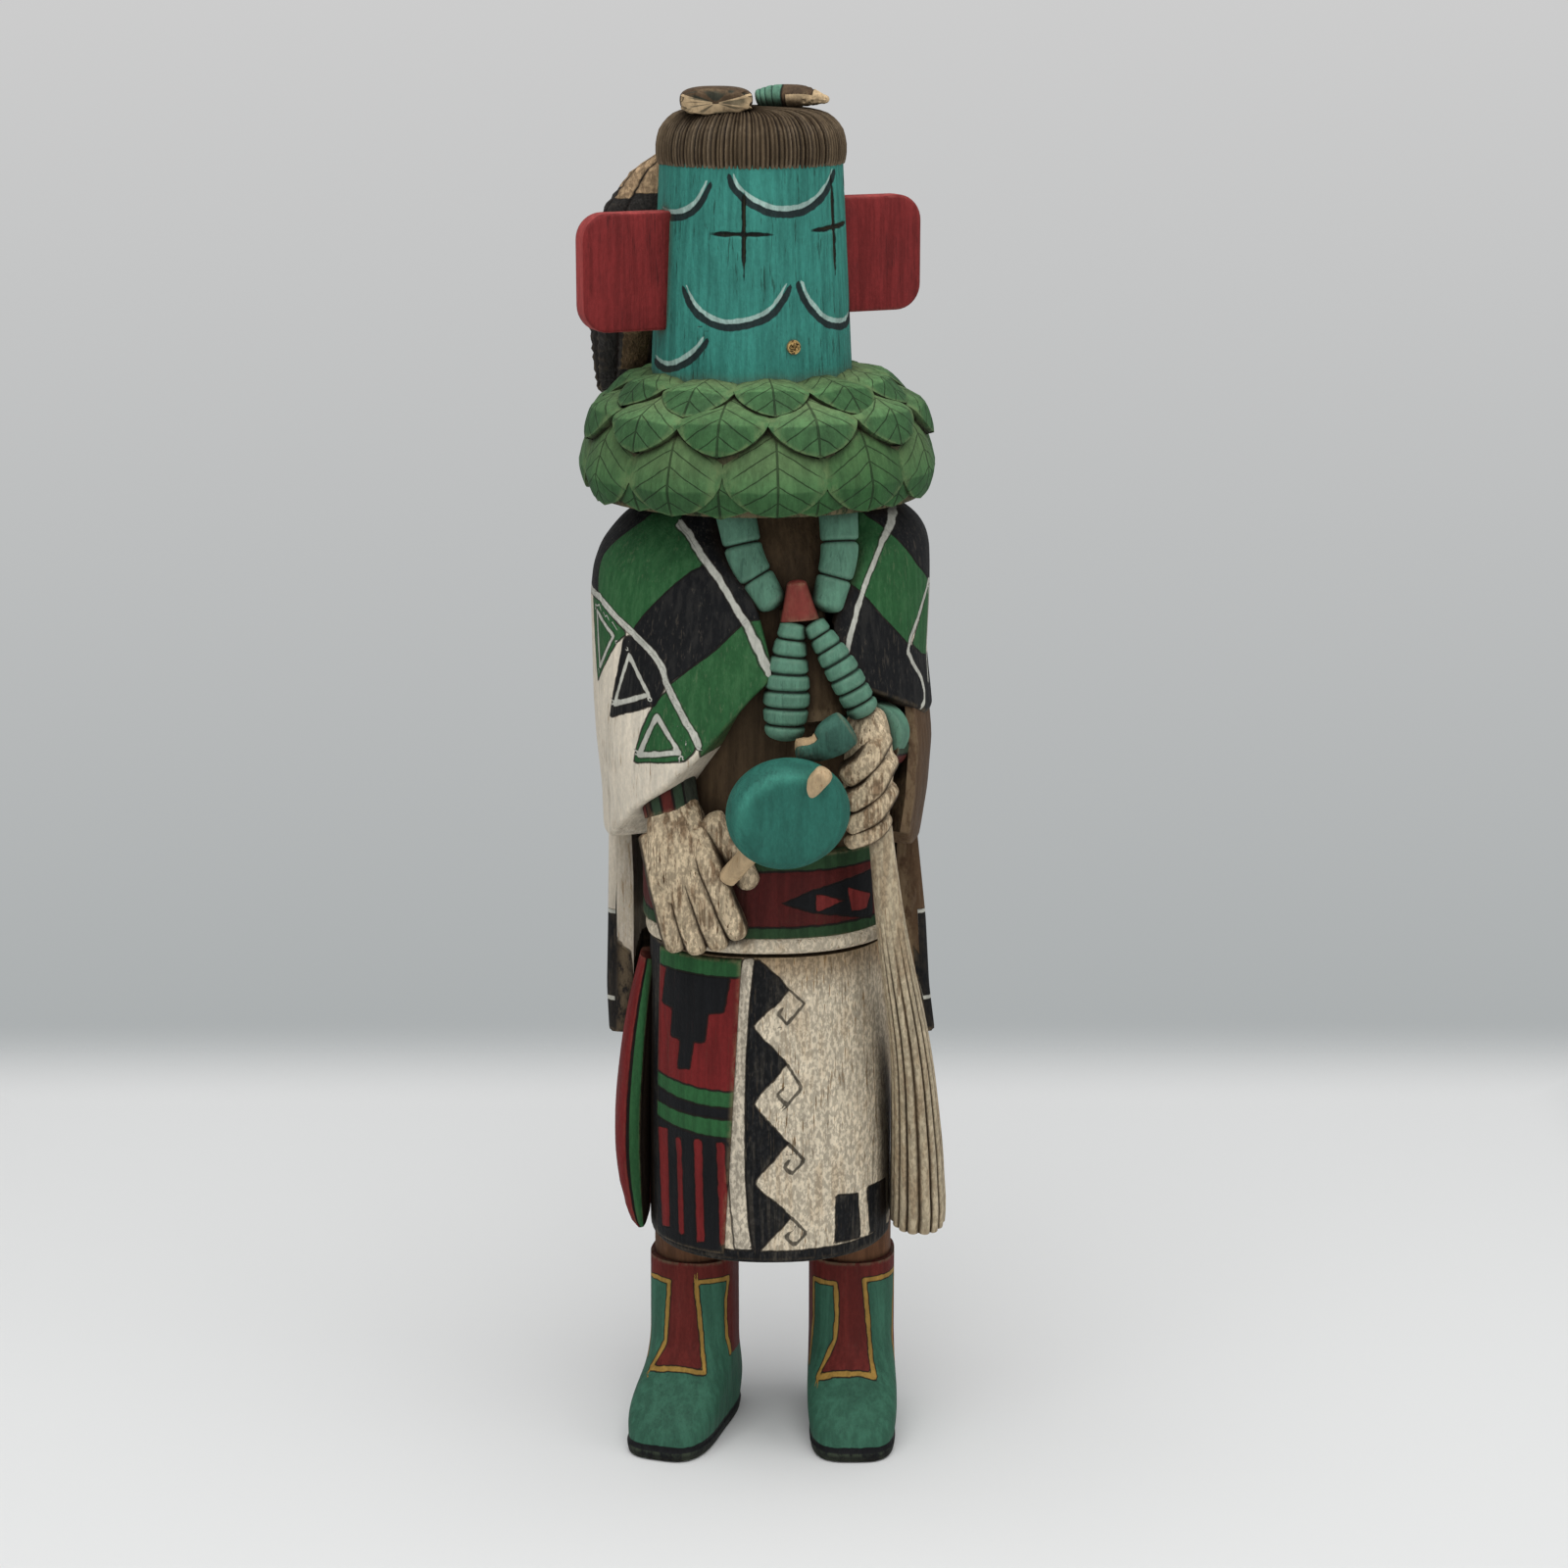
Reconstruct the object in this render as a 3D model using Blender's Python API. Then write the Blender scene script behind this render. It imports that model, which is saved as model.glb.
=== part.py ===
"""Carved katsina doll of painted cottonwood root, at its real size, in metres with +Z up.

The doll looks along -Y and stands on its boots, with its head turned to its own left. The origin is
on the ground under the middle of the whole carving. The carving is a free form, so it is laid out
in shares of the doll's height. Fits, bores, clearances and the small let-in pieces are real sizes.
"""

from math import asin, copysign, cos, hypot, pi, radians, sin

import bmesh
import bpy
from mathutils import Matrix, Vector

# Driving sizes
HEIGHT = 0.380  # ground to the top of the broken crest
SHARE = HEIGHT / 380.0  # the carving is laid out in 380 equal shares of the height
BODY_Y = 0.0046  # the body's axis stands this far behind the middle of the whole carving
FIT_GAP = 0.0003  # clearance round every let-in piece
HEAD_TURN = radians(24.5)  # the head looks this far to the doll's left

# Let-in pieces
EAR_THICK = 0.0065
EAR_HEIGHT = 0.0310
EAR_CORNER = 0.0070
EAR_LENGTH = 0.0275
EAR_INSET = 0.0040  # how deep each ear is let into the mask
EAR_BEVEL = 0.0014
PEG_RADIUS = 0.00185
PEG_LENGTH = 0.0070
PEG_PROUD = 0.0006  # the snapped peg stands this far out of its hole
HANDLE_RADIUS = 0.00275
HANDLE_OVERHANG = 0.0052  # the handle's peg end beyond the gourd's rim
HANDLE_REACH = 0.0300  # the handle's length below the gourd's middle
GOURD_RADIUS = 0.0160
GOURD_THICK = 0.0130
GOURD_ROUNDING = 72.0  # degrees of the rim's round side above and below its middle
GOURD_RIM = 0.8  # how far the rim rounds in, as a share of the half thickness
BORE_GAP = 0.0003  # clearance of the gourd's bore round the handle

# Places on the doll, in shares of its height
HEAD_X = -5.0
RUFF_X = -3.3
MASK_FOOT = 297.0
HAIR_LINE = 360.4
EAR_MIDDLE = 333.2
SNOUT_HEIGHT = 314.5
HEM = 61.5
LEG_RADIUS = 11.2
LEG_OVERLAP = 12.0  # how far each leg runs up into the kilt and down into its boot
FLAT_POWER = 2.25  # how square the body's cross-sections are, 2 being an ellipse

# Cross-sections: height, middle x, half width, depth in front, depth behind
BODY = (
    (HEM, 0.0, 33.8, 31.8, 29.6),
    (HEM + 1.4, 0.0, 34.6, 32.8, 30.4),
    (100.0, 0.0, 34.2, 33.0, 31.0),
    (150.6, -0.6, 33.2, 31.6, 30.6),
    (151.6, -0.8, 34.6, 33.2, 32.0),
    (153.8, -0.8, 35.4, 34.2, 32.8),
    (155.8, -0.8, 34.7, 33.4, 32.2),
    (156.6, -0.8, 34.9, 33.6, 32.4),
    (179.0, -1.0, 34.6, 33.2, 32.0),
    (179.8, -1.0, 32.4, 30.4, 30.0),
    (205.0, -1.6, 33.0, 28.6, 29.0),
    (240.0, -2.5, 34.0, 27.6, 29.0),
    (258.0, -3.0, 33.0, 25.0, 27.0),
    (270.0, -3.3, 27.0, 20.0, 22.0),
    (288.0, -3.8, 20.0, 18.0, 18.0),
)
CAPE = (
    (112.0, 0.7, 47.4, 40.0, 36.0),
    (130.0, -0.8, 46.6, 40.0, 37.0),
    (150.0, -1.1, 45.7, 42.0, 38.0),
    (176.0, -2.2, 44.0, 46.0, 38.4),
    (192.0, -1.2, 45.4, 46.0, 38.4),
    (206.0, -1.4, 46.6, 45.0, 38.0),
    (217.0, -2.2, 46.4, 42.0, 37.6),
    (230.0, -3.0, 45.8, 39.0, 37.0),
    (246.0, -2.8, 46.2, 35.0, 35.4),
    (253.0, -2.4, 45.8, 33.0, 33.8),
    (259.0, -1.4, 44.6, 30.6, 31.8),
    (263.0, -0.4, 42.6, 28.6, 29.8),
    (267.0, 0.0, 39.4, 26.0, 27.4),
    (271.0, 0.0, 33.0, 23.0, 24.0),
)
CAPE_TOP = 271.0
CAPE_TAIL = 112.0
CAPE_SIDE_DEPTH = 15.0  # how deep the two front sides reach into the body
CAPE_BACK_DEPTH = 7.6
CAPE_SIDE_END = 104.0  # degrees from the front at which the sides meet the back
CAPE_BACK_START = 98.0
CAPE_BACK_SPAN = 164.0
ELBOW_TURNS = (62.0, 76.0, 90.0, 106.0)
ELBOW_TOP = 224.0
ELBOW_FOOT = 178.0
ELBOW_LIFT = -0.8

# Front edges of the cape's two sides as x and height, from the neck down and back along the hem
RIGHT_EDGE = ((-24.1, 270.5), (-12.1, 252.1), (-3.6, 237.4), (-1.0, 230.0))
RIGHT_HEM = ((-1.0, 230.0), (-18.9, 208.2), (-28.9, 198.5), (-36.3, 192.0), (-44.0, 180.0))
LEFT_EDGE = ((31.9, 271.0), (27.9, 259.5), (21.5, 242.4), (20.0, 231.8))
LEFT_HEM = ((20.0, 231.8), (24.0, 225.3), (35.1, 219.9), (42.5, 214.0))

# The mask and hair as height and radius, and the ruff as radius and height
MASK = ((MASK_FOOT, 27.5), (305.0, 27.0), (333.0, 25.7), (HAIR_LINE + 1.0, 24.3))
HAIR = ((HAIR_LINE, 24.6), (367.0, 25.0), (372.4, 22.4), (375.0, 17.2))
HAIR_GROOVE = (0.5, 0.7, 0.5, 0.0)
HAIR_LOCKS = 18
RUFF = ((27.5, 304.8), (35.0, 301.2), (42.2, 295.4), (45.4, 288.8), (45.4, 278.0), (44.2, 272.8))
RUFF_ROWS = ((43.6, 4.0, 1.0), (29.5, -14.0, 1.4), (17.8, 8.0, 1.6))  # tip, first turn, lift
LEAF_COUNT = 10
LEAF_OVERLAP = 1.07  # each leaf's width over the room that its row gives it
LEAF_LENGTH = 22.0
LEAF_TIP_LIFT = 1.3
LEAF_RIDGE = 0.8
LEAF_DEEP_CORNERS = ((0.45, 0.88), (0.85, 0.2))
LEAF_DROOP = 0.9  # how far each leaf's sides hang below its middle
LEAF_DEPTH = 2.6  # how deep the underside of each leaf reaches into the ruff's core
LEAF_RIDGE_PLACE = 0.6  # where the vein stands highest, as a share of the leaf's length
LEAF_OUTLINE = ((0.0, 1.0), (0.58, 0.86), (1.0, 0.46), (0.85, 0.0))

# Boots: height, half width, heel behind the shank's middle, toe in front of it
BOOT = (
    (0.0, 11.8, 16.6, 33.0),
    (2.9, 12.1, 17.0, 33.4),
    (3.3, 11.8, 16.6, 32.6),
    (8.5, 12.5, 16.4, 31.0),
    (14.0, 12.7, 16.0, 25.5),
    (19.0, 12.5, 15.4, 18.6),
    (28.0, 12.3, 15.0, 13.8),
    (52.0, 12.3, 14.0, 12.2),
)
BOOT_TOP = 52.0
SHANK_Y = 3.0
BOOT_PLACES = ((-22.2, radians(-12.0)), (23.2, 0.0))  # middle of each shank, and how it splays

# Feather bundle: height, distance behind the head's middle, half width, half depth
FEATHERS = (
    (291.0, 49.5, 17.0, 2.2),
    (296.0, 47.0, 23.0, 5.5),
    (303.0, 43.5, 25.0, 10.0),
    (314.0, 41.0, 26.6, 14.5),
    (330.0, 38.0, 26.6, 14.5),
    (347.0, 34.0, 25.0, 11.5),
    (357.0, 29.5, 19.0, 6.6),
    (362.5, 26.0, 12.0, 3.0),
)
FEATHERS_SIDE = -3.0
FEATHERS_GROOVES = 5
FEATHERS_GROOVE_DEPTH = 0.04

# Arms and hands: place, half width, half depth
RIGHT_FOREARM = (((-38.0, -18.0, 222.0), 9.5, 9.5), ((-26.2, -30.0, 193.0), 8.8, 6.4))
RIGHT_PALM = (
    ((-26.4, -31.0, 195.5), 8.2, 5.6),
    ((-25.2, -31.6, 187.0), 8.8, 5.4),
    ((-22.8, -32.2, 178.6), 10.2, 5.2),
    ((-20.2, -32.6, 168.0), 9.0, 4.4),
)
RIGHT_THUMB = (((-14.8, -32.6, 188.0), 4.0, 3.6), ((-5.4, -34.0, 171.0), 3.1, 3.2))
RIGHT_KNUCKLES = ((-31.0, 177.5), (-26.8, 177.2), (-22.4, 178.6), (-17.6, 180.6))
RIGHT_FINGERTIPS = ((-25.4, 152.4), (-19.4, 152.2), (-13.4, 153.8), (-8.2, 157.4))
RIGHT_FINGER_Y = -31.6  # the little finger's depth, from which each finger stands further out
RIGHT_FINGER_STEP = -1.5
FINGER_HALF_WIDTH = 3.1
FINGER_HALF_DEPTH = 3.8
# Shares of a finger's length, how far it stands out there, and its size
FINGER_SHAPE = ((0.0, 0.0, 1.0), (0.5, -1.2, 1.0), (0.9, -0.4, 0.92), (1.0, 0.6, 0.64))
LEFT_FOREARM = (((38.0, -10.0, 204.0), 9.0, 9.0), ((29.0, -34.0, 210.0), 7.0, 8.0))
LEFT_CUFF = (((33.6, -22.0, 211.0), 8.8, 8.8), ((30.6, -31.0, 212.6), 8.6, 8.4))
LEFT_FIST = (
    ((25.0, -33.0, 219.5), 4.4, 4.6),
    ((26.2, -35.0, 212.0), 6.4, 7.0),
    ((26.2, -35.4, 201.0), 6.7, 7.2),
    ((25.4, -34.6, 189.5), 6.2, 6.4),
    ((24.6, -33.4, 184.2), 4.0, 4.4),
)
LEFT_FINGERS = (  # x and height of knuckle, bend and tip, then thickness
    ((29.4, 211.6), (24.6, 206.0), (18.6, 201.8), 3.1),
    ((31.0, 206.6), (26.8, 199.2), (19.6, 194.6), 3.0),
    ((31.2, 198.4), (27.0, 192.6), (19.6, 188.6), 2.8),
    ((30.2, 189.6), (26.0, 186.4), (19.6, 184.6), 2.3),
)
LEFT_FINGER_Y = (-34.6, -39.4, -41.0, -39.6)  # knuckle, first joint, bend, tip

# Necklace: paths of places and half widths
RIGHT_STRAND = (((-9.5, -25.5, 272.0), 5.3), ((-6.6, -28.6, 259.0), 5.0), ((1.4, -31.4, 247.0), 4.0))
LEFT_STRAND = (((17.8, -25.5, 273.0), 5.2), ((18.4, -28.6, 260.0), 5.0), ((14.4, -31.4, 246.0), 4.2))
RIGHT_TAIL = (((6.0, -34.0, 243.5), 3.2), ((4.4, -36.0, 226.0), 6.4), ((3.5, -37.0, 213.0), 4.2))
LEFT_TAIL = (((11.0, -34.0, 243.5), 2.9), ((18.6, -36.2, 231.4), 4.4), ((25.2, -37.4, 219.4), 4.0))
BEAD = (((6.8, -32.0, 254.0), 2.4, 4.0), ((7.8, -33.0, 243.4), 5.2, 4.4))
TAIL_BLOCK = (((8.0, -26.0, 246.0), 6.0, 5.0), ((12.0, -28.0, 216.0), 9.0, 6.4))
STRAND_STONES = 3
STRAND_DEPTH = 4.4
TAIL_RIBS = 7
TAIL_DEPTH = 5.8
STONE_PINCH = 0.84  # the width between two stones, as a share of a stone's

# Hangings
PANEL_TOP = 149.4
PANEL_FOOT = HEM + 2.4
PANEL_UPPER_X = (-29.8, -7.9)
PANEL_LOWER_X = (-31.4, -13.0)
PANEL_LEVEL = 110.0
PANEL_LIFT = 1.2
PANEL_DEPTH = 4.0
SIDE_SASH = (
    ((-36.0, -1.0, 142.0), 4.4, 8.0),
    ((-39.0, -2.0, 122.0), 5.0, 10.0),
    ((-39.8, -2.0, 92.0), 5.2, 11.0),
    ((-39.6, -2.0, 68.0), 4.8, 10.4),
    ((-39.0, -2.0, 62.6), 3.2, 9.0),
)
FRINGE = (
    ((29.0, -34.0, 190.0), 3.2, 4.0),
    ((30.8, -34.2, 172.0), 3.6, 4.2),
    ((33.6, -31.0, 150.0), 4.4, 5.6),
    ((38.4, -25.0, 126.0), 5.4, 8.6),
    ((40.4, -17.0, 100.0), 6.8, 11.6),
    ((41.6, -11.0, 76.0), 8.1, 13.4),
    ((41.3, -10.0, 62.2), 7.8, 13.0),
)
FRINGE_PLEAT = 0.1  # depth of the pleats, as a share of the fringe's width

# Broken stumps: along their length, then size
CREST_RIGHT_X = -14.0
CREST_RIGHT = (  # y, half width, half rise, height
    (-18.6, 8.2, 2.6, 375.9),
    (-17.4, 9.4, 3.2, 376.4),
    (-10.0, 9.6, 3.5, 376.5),
    (-3.4, 8.4, 2.8, 376.4),
)
CREST_LEFT = (  # place, radius
    ((-3.6, -1.0, 376.8), 2.2),
    ((-1.0, -1.4, 377.0), 2.8),
    ((3.4, -2.2, 377.1), 2.9),
    ((4.0, -2.3, 377.1), 2.6),
    ((9.4, -3.4, 377.3), 2.6),
    ((12.6, -4.0, 376.9), 1.5),
    ((15.6, -4.6, 376.8), 0.7),
)
CREST_LEFT_ACROSS = (0.15, 1.0, 0.0)
CREST_LEFT_BROAD = 1.3  # how much broader than high the left stump is
STUB = (
    ((21.4, -43.4, 219.0), 2.6),
    ((17.6, -44.0, 215.6), 4.2),
    ((13.4, -44.6, 213.0), 4.6),
    ((12.8, -44.6, 212.8), 3.3),
    ((6.4, -45.0, 212.2), 3.4),
)
STUB_ACROSS = (0.5, 0.0, -0.87)
STUB_FLATNESS = 0.8

RATTLE_MIDDLE = (4.4, -51.6, 195.8)
RATTLE_AXIS = (0.542, -0.437, 0.718)  # along the handle, from the lower end to the peg end
GOURD_FACE = (0.20, -0.965, -0.17)  # the way that the gourd's flat face looks
GOURD_STEPS = 4  # flat bands round the gourd's rim
HANDLE_TIP = 0.62  # width of the handle's rounded end, as a share of its own

# Plain paints: colour and roughness
MIXED_PAINT = ((0.30, 0.25, 0.19), 0.7)
RED_PAINT = ((0.26, 0.03, 0.035), 0.6)
TURQUOISE_PAINT = ((0.05, 0.28, 0.24), 0.6)
BROWN_PAINT = ((0.14, 0.10, 0.06), 0.8)
BARE_WOOD = ((0.55, 0.36, 0.17), 0.75)

ROUND_SIDES = 24  # sides of the big round forms
LEG_SIDES = 12
SMALL_SIDES = 12
SMOOTH_ANGLE = radians(35.0)
BEVEL_ANGLE = radians(40.0)
WELD = 0.00002


def at(x, y, z):
    """A place given in shares of the height, measured from the body's axis."""
    return Vector((x, y, z)) * SHARE


def head_at(side, behind, height):
    """A place on the turned head: to its left, behind its middle, and up."""
    x = HEAD_X + side * cos(HEAD_TURN) - behind * sin(HEAD_TURN)
    y = side * sin(HEAD_TURN) + behind * cos(HEAD_TURN)
    return at(x, y, height)


def between(points, value):
    """Values of a table at one place, which is measured in the table's first column."""
    ordered = sorted(points)
    value = min(max(value, ordered[0][0]), ordered[-1][0])
    for low, high in zip(ordered, ordered[1:]):
        if value <= high[0]:
            part = (value - low[0]) / max(high[0] - low[0], 1e-9)
            return [a + (b - a) * part for a, b in zip(low[1:], high[1:])]
    return list(ordered[-1][1:])


def section_point(table, turn, height, lift=0.0):
    """A point on a body's cross-section, turned from the front towards the doll's left."""
    middle, half_width, front, behind = between(table, height)
    depth = front if cos(turn) > 0.0 else behind
    across = copysign(abs(sin(turn)) ** (2.0 / FLAT_POWER), sin(turn))
    along = copysign(abs(cos(turn)) ** (2.0 / FLAT_POWER), cos(turn))
    return at(middle + (half_width + lift) * across, -(depth + lift) * along, height)


def turn_at(table, x, height):
    """The turn at which the front of a cross-section passes one x."""
    middle, half_width = between(table, height)[:2]
    share = min(abs(x - middle) / half_width, 1.0)
    return copysign(asin(share ** (FLAT_POWER / 2.0)), x - middle)


def ring(centre, across, along, sides, power=2.0, lobes=0.0):
    """An oval of points around a centre, with its two half sizes as vectors."""
    points = []
    for i in range(sides):
        turn = 2.0 * pi * i / sides
        reach = 1.0 - lobes * (i % 2)
        u = copysign(abs(cos(turn)) ** (2.0 / power), cos(turn)) * reach
        v = copysign(abs(sin(turn)) ** (2.0 / power), sin(turn)) * reach
        points.append(centre + across * u + along * v)
    return points


def made(name, mesh):
    """An object of a finished mesh, standing on the body's axis."""
    bmesh.ops.recalc_face_normals(mesh, faces=mesh.faces)
    bmesh.ops.triangulate(mesh, faces=mesh.faces)
    data = bpy.data.meshes.new(name)
    mesh.to_mesh(data)
    mesh.free()
    shape = bpy.data.objects.new(name, data)
    bpy.context.scene.collection.objects.link(shape)
    shape.location = (0.0, BODY_Y, 0.0)
    return shape


def loft(name, rings):
    """A closed skin through rings of equal point counts, capped at both ends."""
    mesh = bmesh.new()
    loops = [[mesh.verts.new(point) for point in points] for points in rings]
    for lower, upper in zip(loops, loops[1:]):
        for i, vert in enumerate(lower):
            j = (i + 1) % len(lower)
            mesh.faces.new((vert, lower[j], upper[j], upper[i]))
    mesh.faces.new(loops[0])
    mesh.faces.new(loops[-1])
    return made(name, mesh)


def limb(name, stations, sides=10, power=2.0, facing=(0.0, -1.0, 0.0), lobes=0.0):
    """A loft along a path of stations, each a place in shares, a half width and a half depth."""
    places = [at(*station[0]) for station in stations]
    rings = []
    for i, (_, half_width, half_depth) in enumerate(stations):
        ahead = places[min(i + 1, len(places) - 1)] - places[max(i - 1, 0)]
        across = ahead.normalized().cross(Vector(facing)).normalized()
        depth = across.cross(ahead.normalized())
        reach = (across * half_width * SHARE, depth * half_depth * SHARE)
        rings.append(ring(places[i], *reach, sides, power, lobes))
    return loft(name, rings)


def wrap(name, table, columns, rows, depth, lift=0.0):
    """A slab that follows a body's surface. Columns give a turn, a top and a bottom height."""
    rings = []
    for turn, top, bottom in columns:
        heights = [top + (bottom - top) * row / rows for row in range(rows + 1)]
        outer = [section_point(table, turn, height, lift) for height in heights]
        inner = [section_point(table, turn, height, -depth) for height in reversed(heights)]
        rings.append(outer + inner)
    return loft(name, rings)


def edge_columns(table, edge, hem, last_turn, steps):
    """Columns of a cape's side, from its front corner round to the flank."""
    top_line = [(turn_at(table, x, height), height) for x, height in edge]
    low_line = [(turn_at(table, x, height), height) for x, height in hem]
    first_turn = low_line[0][0]
    columns = []
    for i in range(steps + 1):
        turn = first_turn + (last_turn - first_turn) * (0.02 + 0.98 * i / steps)
        columns.append((turn, between(top_line, turn)[0], between(low_line, turn)[0]))
    return columns


def guide(shape):
    """Marks a shape that only feeds a Boolean."""
    shape.hide_render = True
    shape.display_type = "WIRE"
    return shape


def grouped(name, shapes):
    """A collection of guides for one Boolean."""
    group = bpy.data.collections.new(name)
    bpy.context.scene.collection.children.link(group)
    for shape in shapes:
        bpy.context.scene.collection.objects.unlink(shape)
        group.objects.link(guide(shape))
    return group


def combined(shape, name, operation, shapes, solver="EXACT"):
    """Adds one Boolean of several shapes to a shape."""
    boolean = shape.modifiers.new(name, "BOOLEAN")
    boolean.solver = solver
    boolean.operation = operation
    boolean.operand_type = "COLLECTION"
    boolean.collection = grouped(f"{shape.name}_{name}", shapes)
    return shape


def painted(shape, finish):
    """Gives a node its own paint."""
    colour, roughness = finish
    paint = bpy.data.materials.new(f"{shape.name}_paint")
    paint.use_nodes = True
    shader = paint.node_tree.nodes["Principled BSDF"]
    shader.inputs["Base Color"].default_value = (*colour, 1.0)
    shader.inputs["Roughness"].default_value = roughness
    shader.inputs["Metallic"].default_value = 0.0
    shape.data.materials.append(paint)
    shape.data.shade_smooth()
    shape.data.set_sharp_from_angle(angle=SMOOTH_ANGLE)
    return shape


def upright_ring(centre, radius, sides, lobes=0.0):
    """A level ring round a place, with its radius in shares."""
    reach = radius * SHARE
    return ring(centre, Vector((reach, 0, 0)), Vector((0, reach, 0)), sides, 2.0, lobes)


def head():
    """The tapered mask and the grooved hair cap."""
    mask_rings = [upright_ring(head_at(0, 0, height), radius, ROUND_SIDES) for height, radius in MASK]
    hair_rings = []
    for (height, radius), groove in zip(HAIR, HAIR_GROOVE):
        hair_rings.append(upright_ring(head_at(0, 0, height), radius, 2 * HAIR_LOCKS, groove / radius))
    return [loft("mask_form", mask_rings), loft("hair_form", hair_rings)]


def ruff_point(turn, down, lift):
    """A point on the ruff: a distance down its profile from the mask, and raised off it."""
    for (r0, z0), (r1, z1) in zip(RUFF, RUFF[1:]):
        length = hypot(r1 - r0, z1 - z0)
        if down <= length or (r1, z1) == RUFF[-1]:
            break
        down -= length
    part = down / length
    radius = r0 + (r1 - r0) * part + lift * (z0 - z1) / length
    height = z0 + (z1 - z0) * part + lift * (r1 - r0) / length
    return at(RUFF_X + radius * sin(turn), -radius * cos(turn), height)


def leaf(name, turn, tip, lift):
    """One overlapping leaf, thickest at its tip, with a raised middle vein."""
    half_pitch = LEAF_OVERLAP * pi / LEAF_COUNT
    mesh = bmesh.new()
    for across, along in LEAF_OUTLINE:
        down = tip - LEAF_LENGTH * (1.0 - along)
        raised = lift + LEAF_TIP_LIFT * along - LEAF_DROOP * across * across
        for side in (-1.0, 1.0):
            spot = turn + side * across * half_pitch
            mesh.verts.new(ruff_point(spot, max(down, 0.5), raised))
    down = tip - LEAF_LENGTH * (1.0 - LEAF_RIDGE_PLACE)
    mesh.verts.new(ruff_point(turn, down, lift + LEAF_TIP_LIFT * LEAF_RIDGE_PLACE + LEAF_RIDGE))
    for across, along in LEAF_DEEP_CORNERS:
        down = max(tip - LEAF_LENGTH * (1.0 - along), 0.5)
        mesh.verts.new(ruff_point(turn - across * half_pitch, down, -LEAF_DEPTH))
        mesh.verts.new(ruff_point(turn + across * half_pitch, down, -LEAF_DEPTH))
    bmesh.ops.remove_doubles(mesh, verts=mesh.verts, dist=1e-6)
    hull = bmesh.ops.convex_hull(mesh, input=mesh.verts)
    bmesh.ops.delete(mesh, geom=list(set(hull["geom_interior"])), context="VERTS")
    return made(name, mesh)


def ruff():
    """The ruff's core and its rows of leaves."""
    rings = [upright_ring(at(RUFF_X, 0, height), radius, ROUND_SIDES) for radius, height in RUFF]
    shapes = [loft("ruff_form", rings)]
    for row, (tip, first, lift) in enumerate(RUFF_ROWS):
        for i in range(LEAF_COUNT):
            turn = radians(first) + 2.0 * pi * i / LEAF_COUNT
            shapes.append(leaf(f"leaf_{row}_{i}", turn, tip, lift))
    return shapes


def body():
    """Kilt, rolled cord, belt, chest and neck in one form."""
    turns = [2.0 * pi * i / ROUND_SIDES for i in range(ROUND_SIDES)]
    return loft("figure", [[section_point(BODY, turn, row[0]) for turn in turns] for row in BODY])


def cape():
    """The cape's two front sides, the bent elbow under it and the long fall down the back."""
    right = edge_columns(CAPE, RIGHT_EDGE, RIGHT_HEM, radians(-CAPE_SIDE_END), 9)
    left = edge_columns(CAPE, LEFT_EDGE, LEFT_HEM, radians(CAPE_SIDE_END), 6)
    back = []
    for i in range(11):
        turn = radians(CAPE_BACK_START + CAPE_BACK_SPAN * i / 10)
        back.append((turn, CAPE_TOP, CAPE_TAIL))
    elbow = [(radians(turn), ELBOW_TOP, ELBOW_FOOT) for turn in ELBOW_TURNS]
    return [
        wrap("cape_right_form", CAPE, right, 4, CAPE_SIDE_DEPTH),
        wrap("cape_left_form", CAPE, left, 4, CAPE_SIDE_DEPTH),
        wrap("cape_back_form", CAPE, back, 7, CAPE_BACK_DEPTH),
        wrap("elbow_form", CAPE, elbow, 3, CAPE_SIDE_DEPTH, ELBOW_LIFT),
    ]


def right_arm():
    """The forearm that comes out from under the cape, and the flat hand on the belt."""
    shapes = [
        limb("right_forearm_form", RIGHT_FOREARM),
        limb("right_palm_form", RIGHT_PALM, power=2.5),
        limb("right_thumb_form", RIGHT_THUMB),
    ]
    for i, (start, end) in enumerate(zip(RIGHT_KNUCKLES, RIGHT_FINGERTIPS)):
        path = []
        for along, rise, size in FINGER_SHAPE:
            x = start[0] + (end[0] - start[0]) * along
            height = start[1] + (end[1] - start[1]) * along
            y = RIGHT_FINGER_Y + RIGHT_FINGER_STEP * i + rise
            path.append(((x, y, height), FINGER_HALF_WIDTH * size, FINGER_HALF_DEPTH * size))
        shapes.append(limb(f"right_finger_form_{i}", path, sides=6))
    return shapes


def left_arm():
    """The bent forearm with its cuff, and the closed hand in front of the chest."""
    shapes = [
        limb("left_forearm_form", LEFT_FOREARM),
        limb("left_cuff_form", LEFT_CUFF),
        limb("left_fist_form", LEFT_FIST),
    ]
    for i, (knuckle, bend, tip, thick) in enumerate(LEFT_FINGERS):
        joint = (knuckle[0] - 0.25 * thick, knuckle[1] - 0.33 * thick)
        sizes = (thick, thick, thick, 0.8 * thick)
        path = []
        for (x, height), y, size in zip((knuckle, joint, bend, tip), LEFT_FINGER_Y, sizes):
            path.append(((x, y, height), size, thick))
        shapes.append(limb(f"left_finger_form_{i}", path, sides=6))
    return shapes


def strand(name, path, segments, depth):
    """A row of fat stones as one form, pinched between them. The path gives places and widths."""
    stations = []
    count = len(path) - 1
    for i in range(2 * segments + 1):
        along = count * i / (2.0 * segments)
        first = min(int(along), count - 1)
        part = along - first
        (start, start_width), (end, end_width) = path[first], path[first + 1]
        place = [a + (b - a) * part for a, b in zip(start, end)]
        width = start_width + (end_width - start_width) * part
        pinch = 1.0 if i % 2 else STONE_PINCH
        stations.append((place, width * pinch, depth * pinch))
    return limb(name, stations, sides=6, power=2.2)


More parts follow.
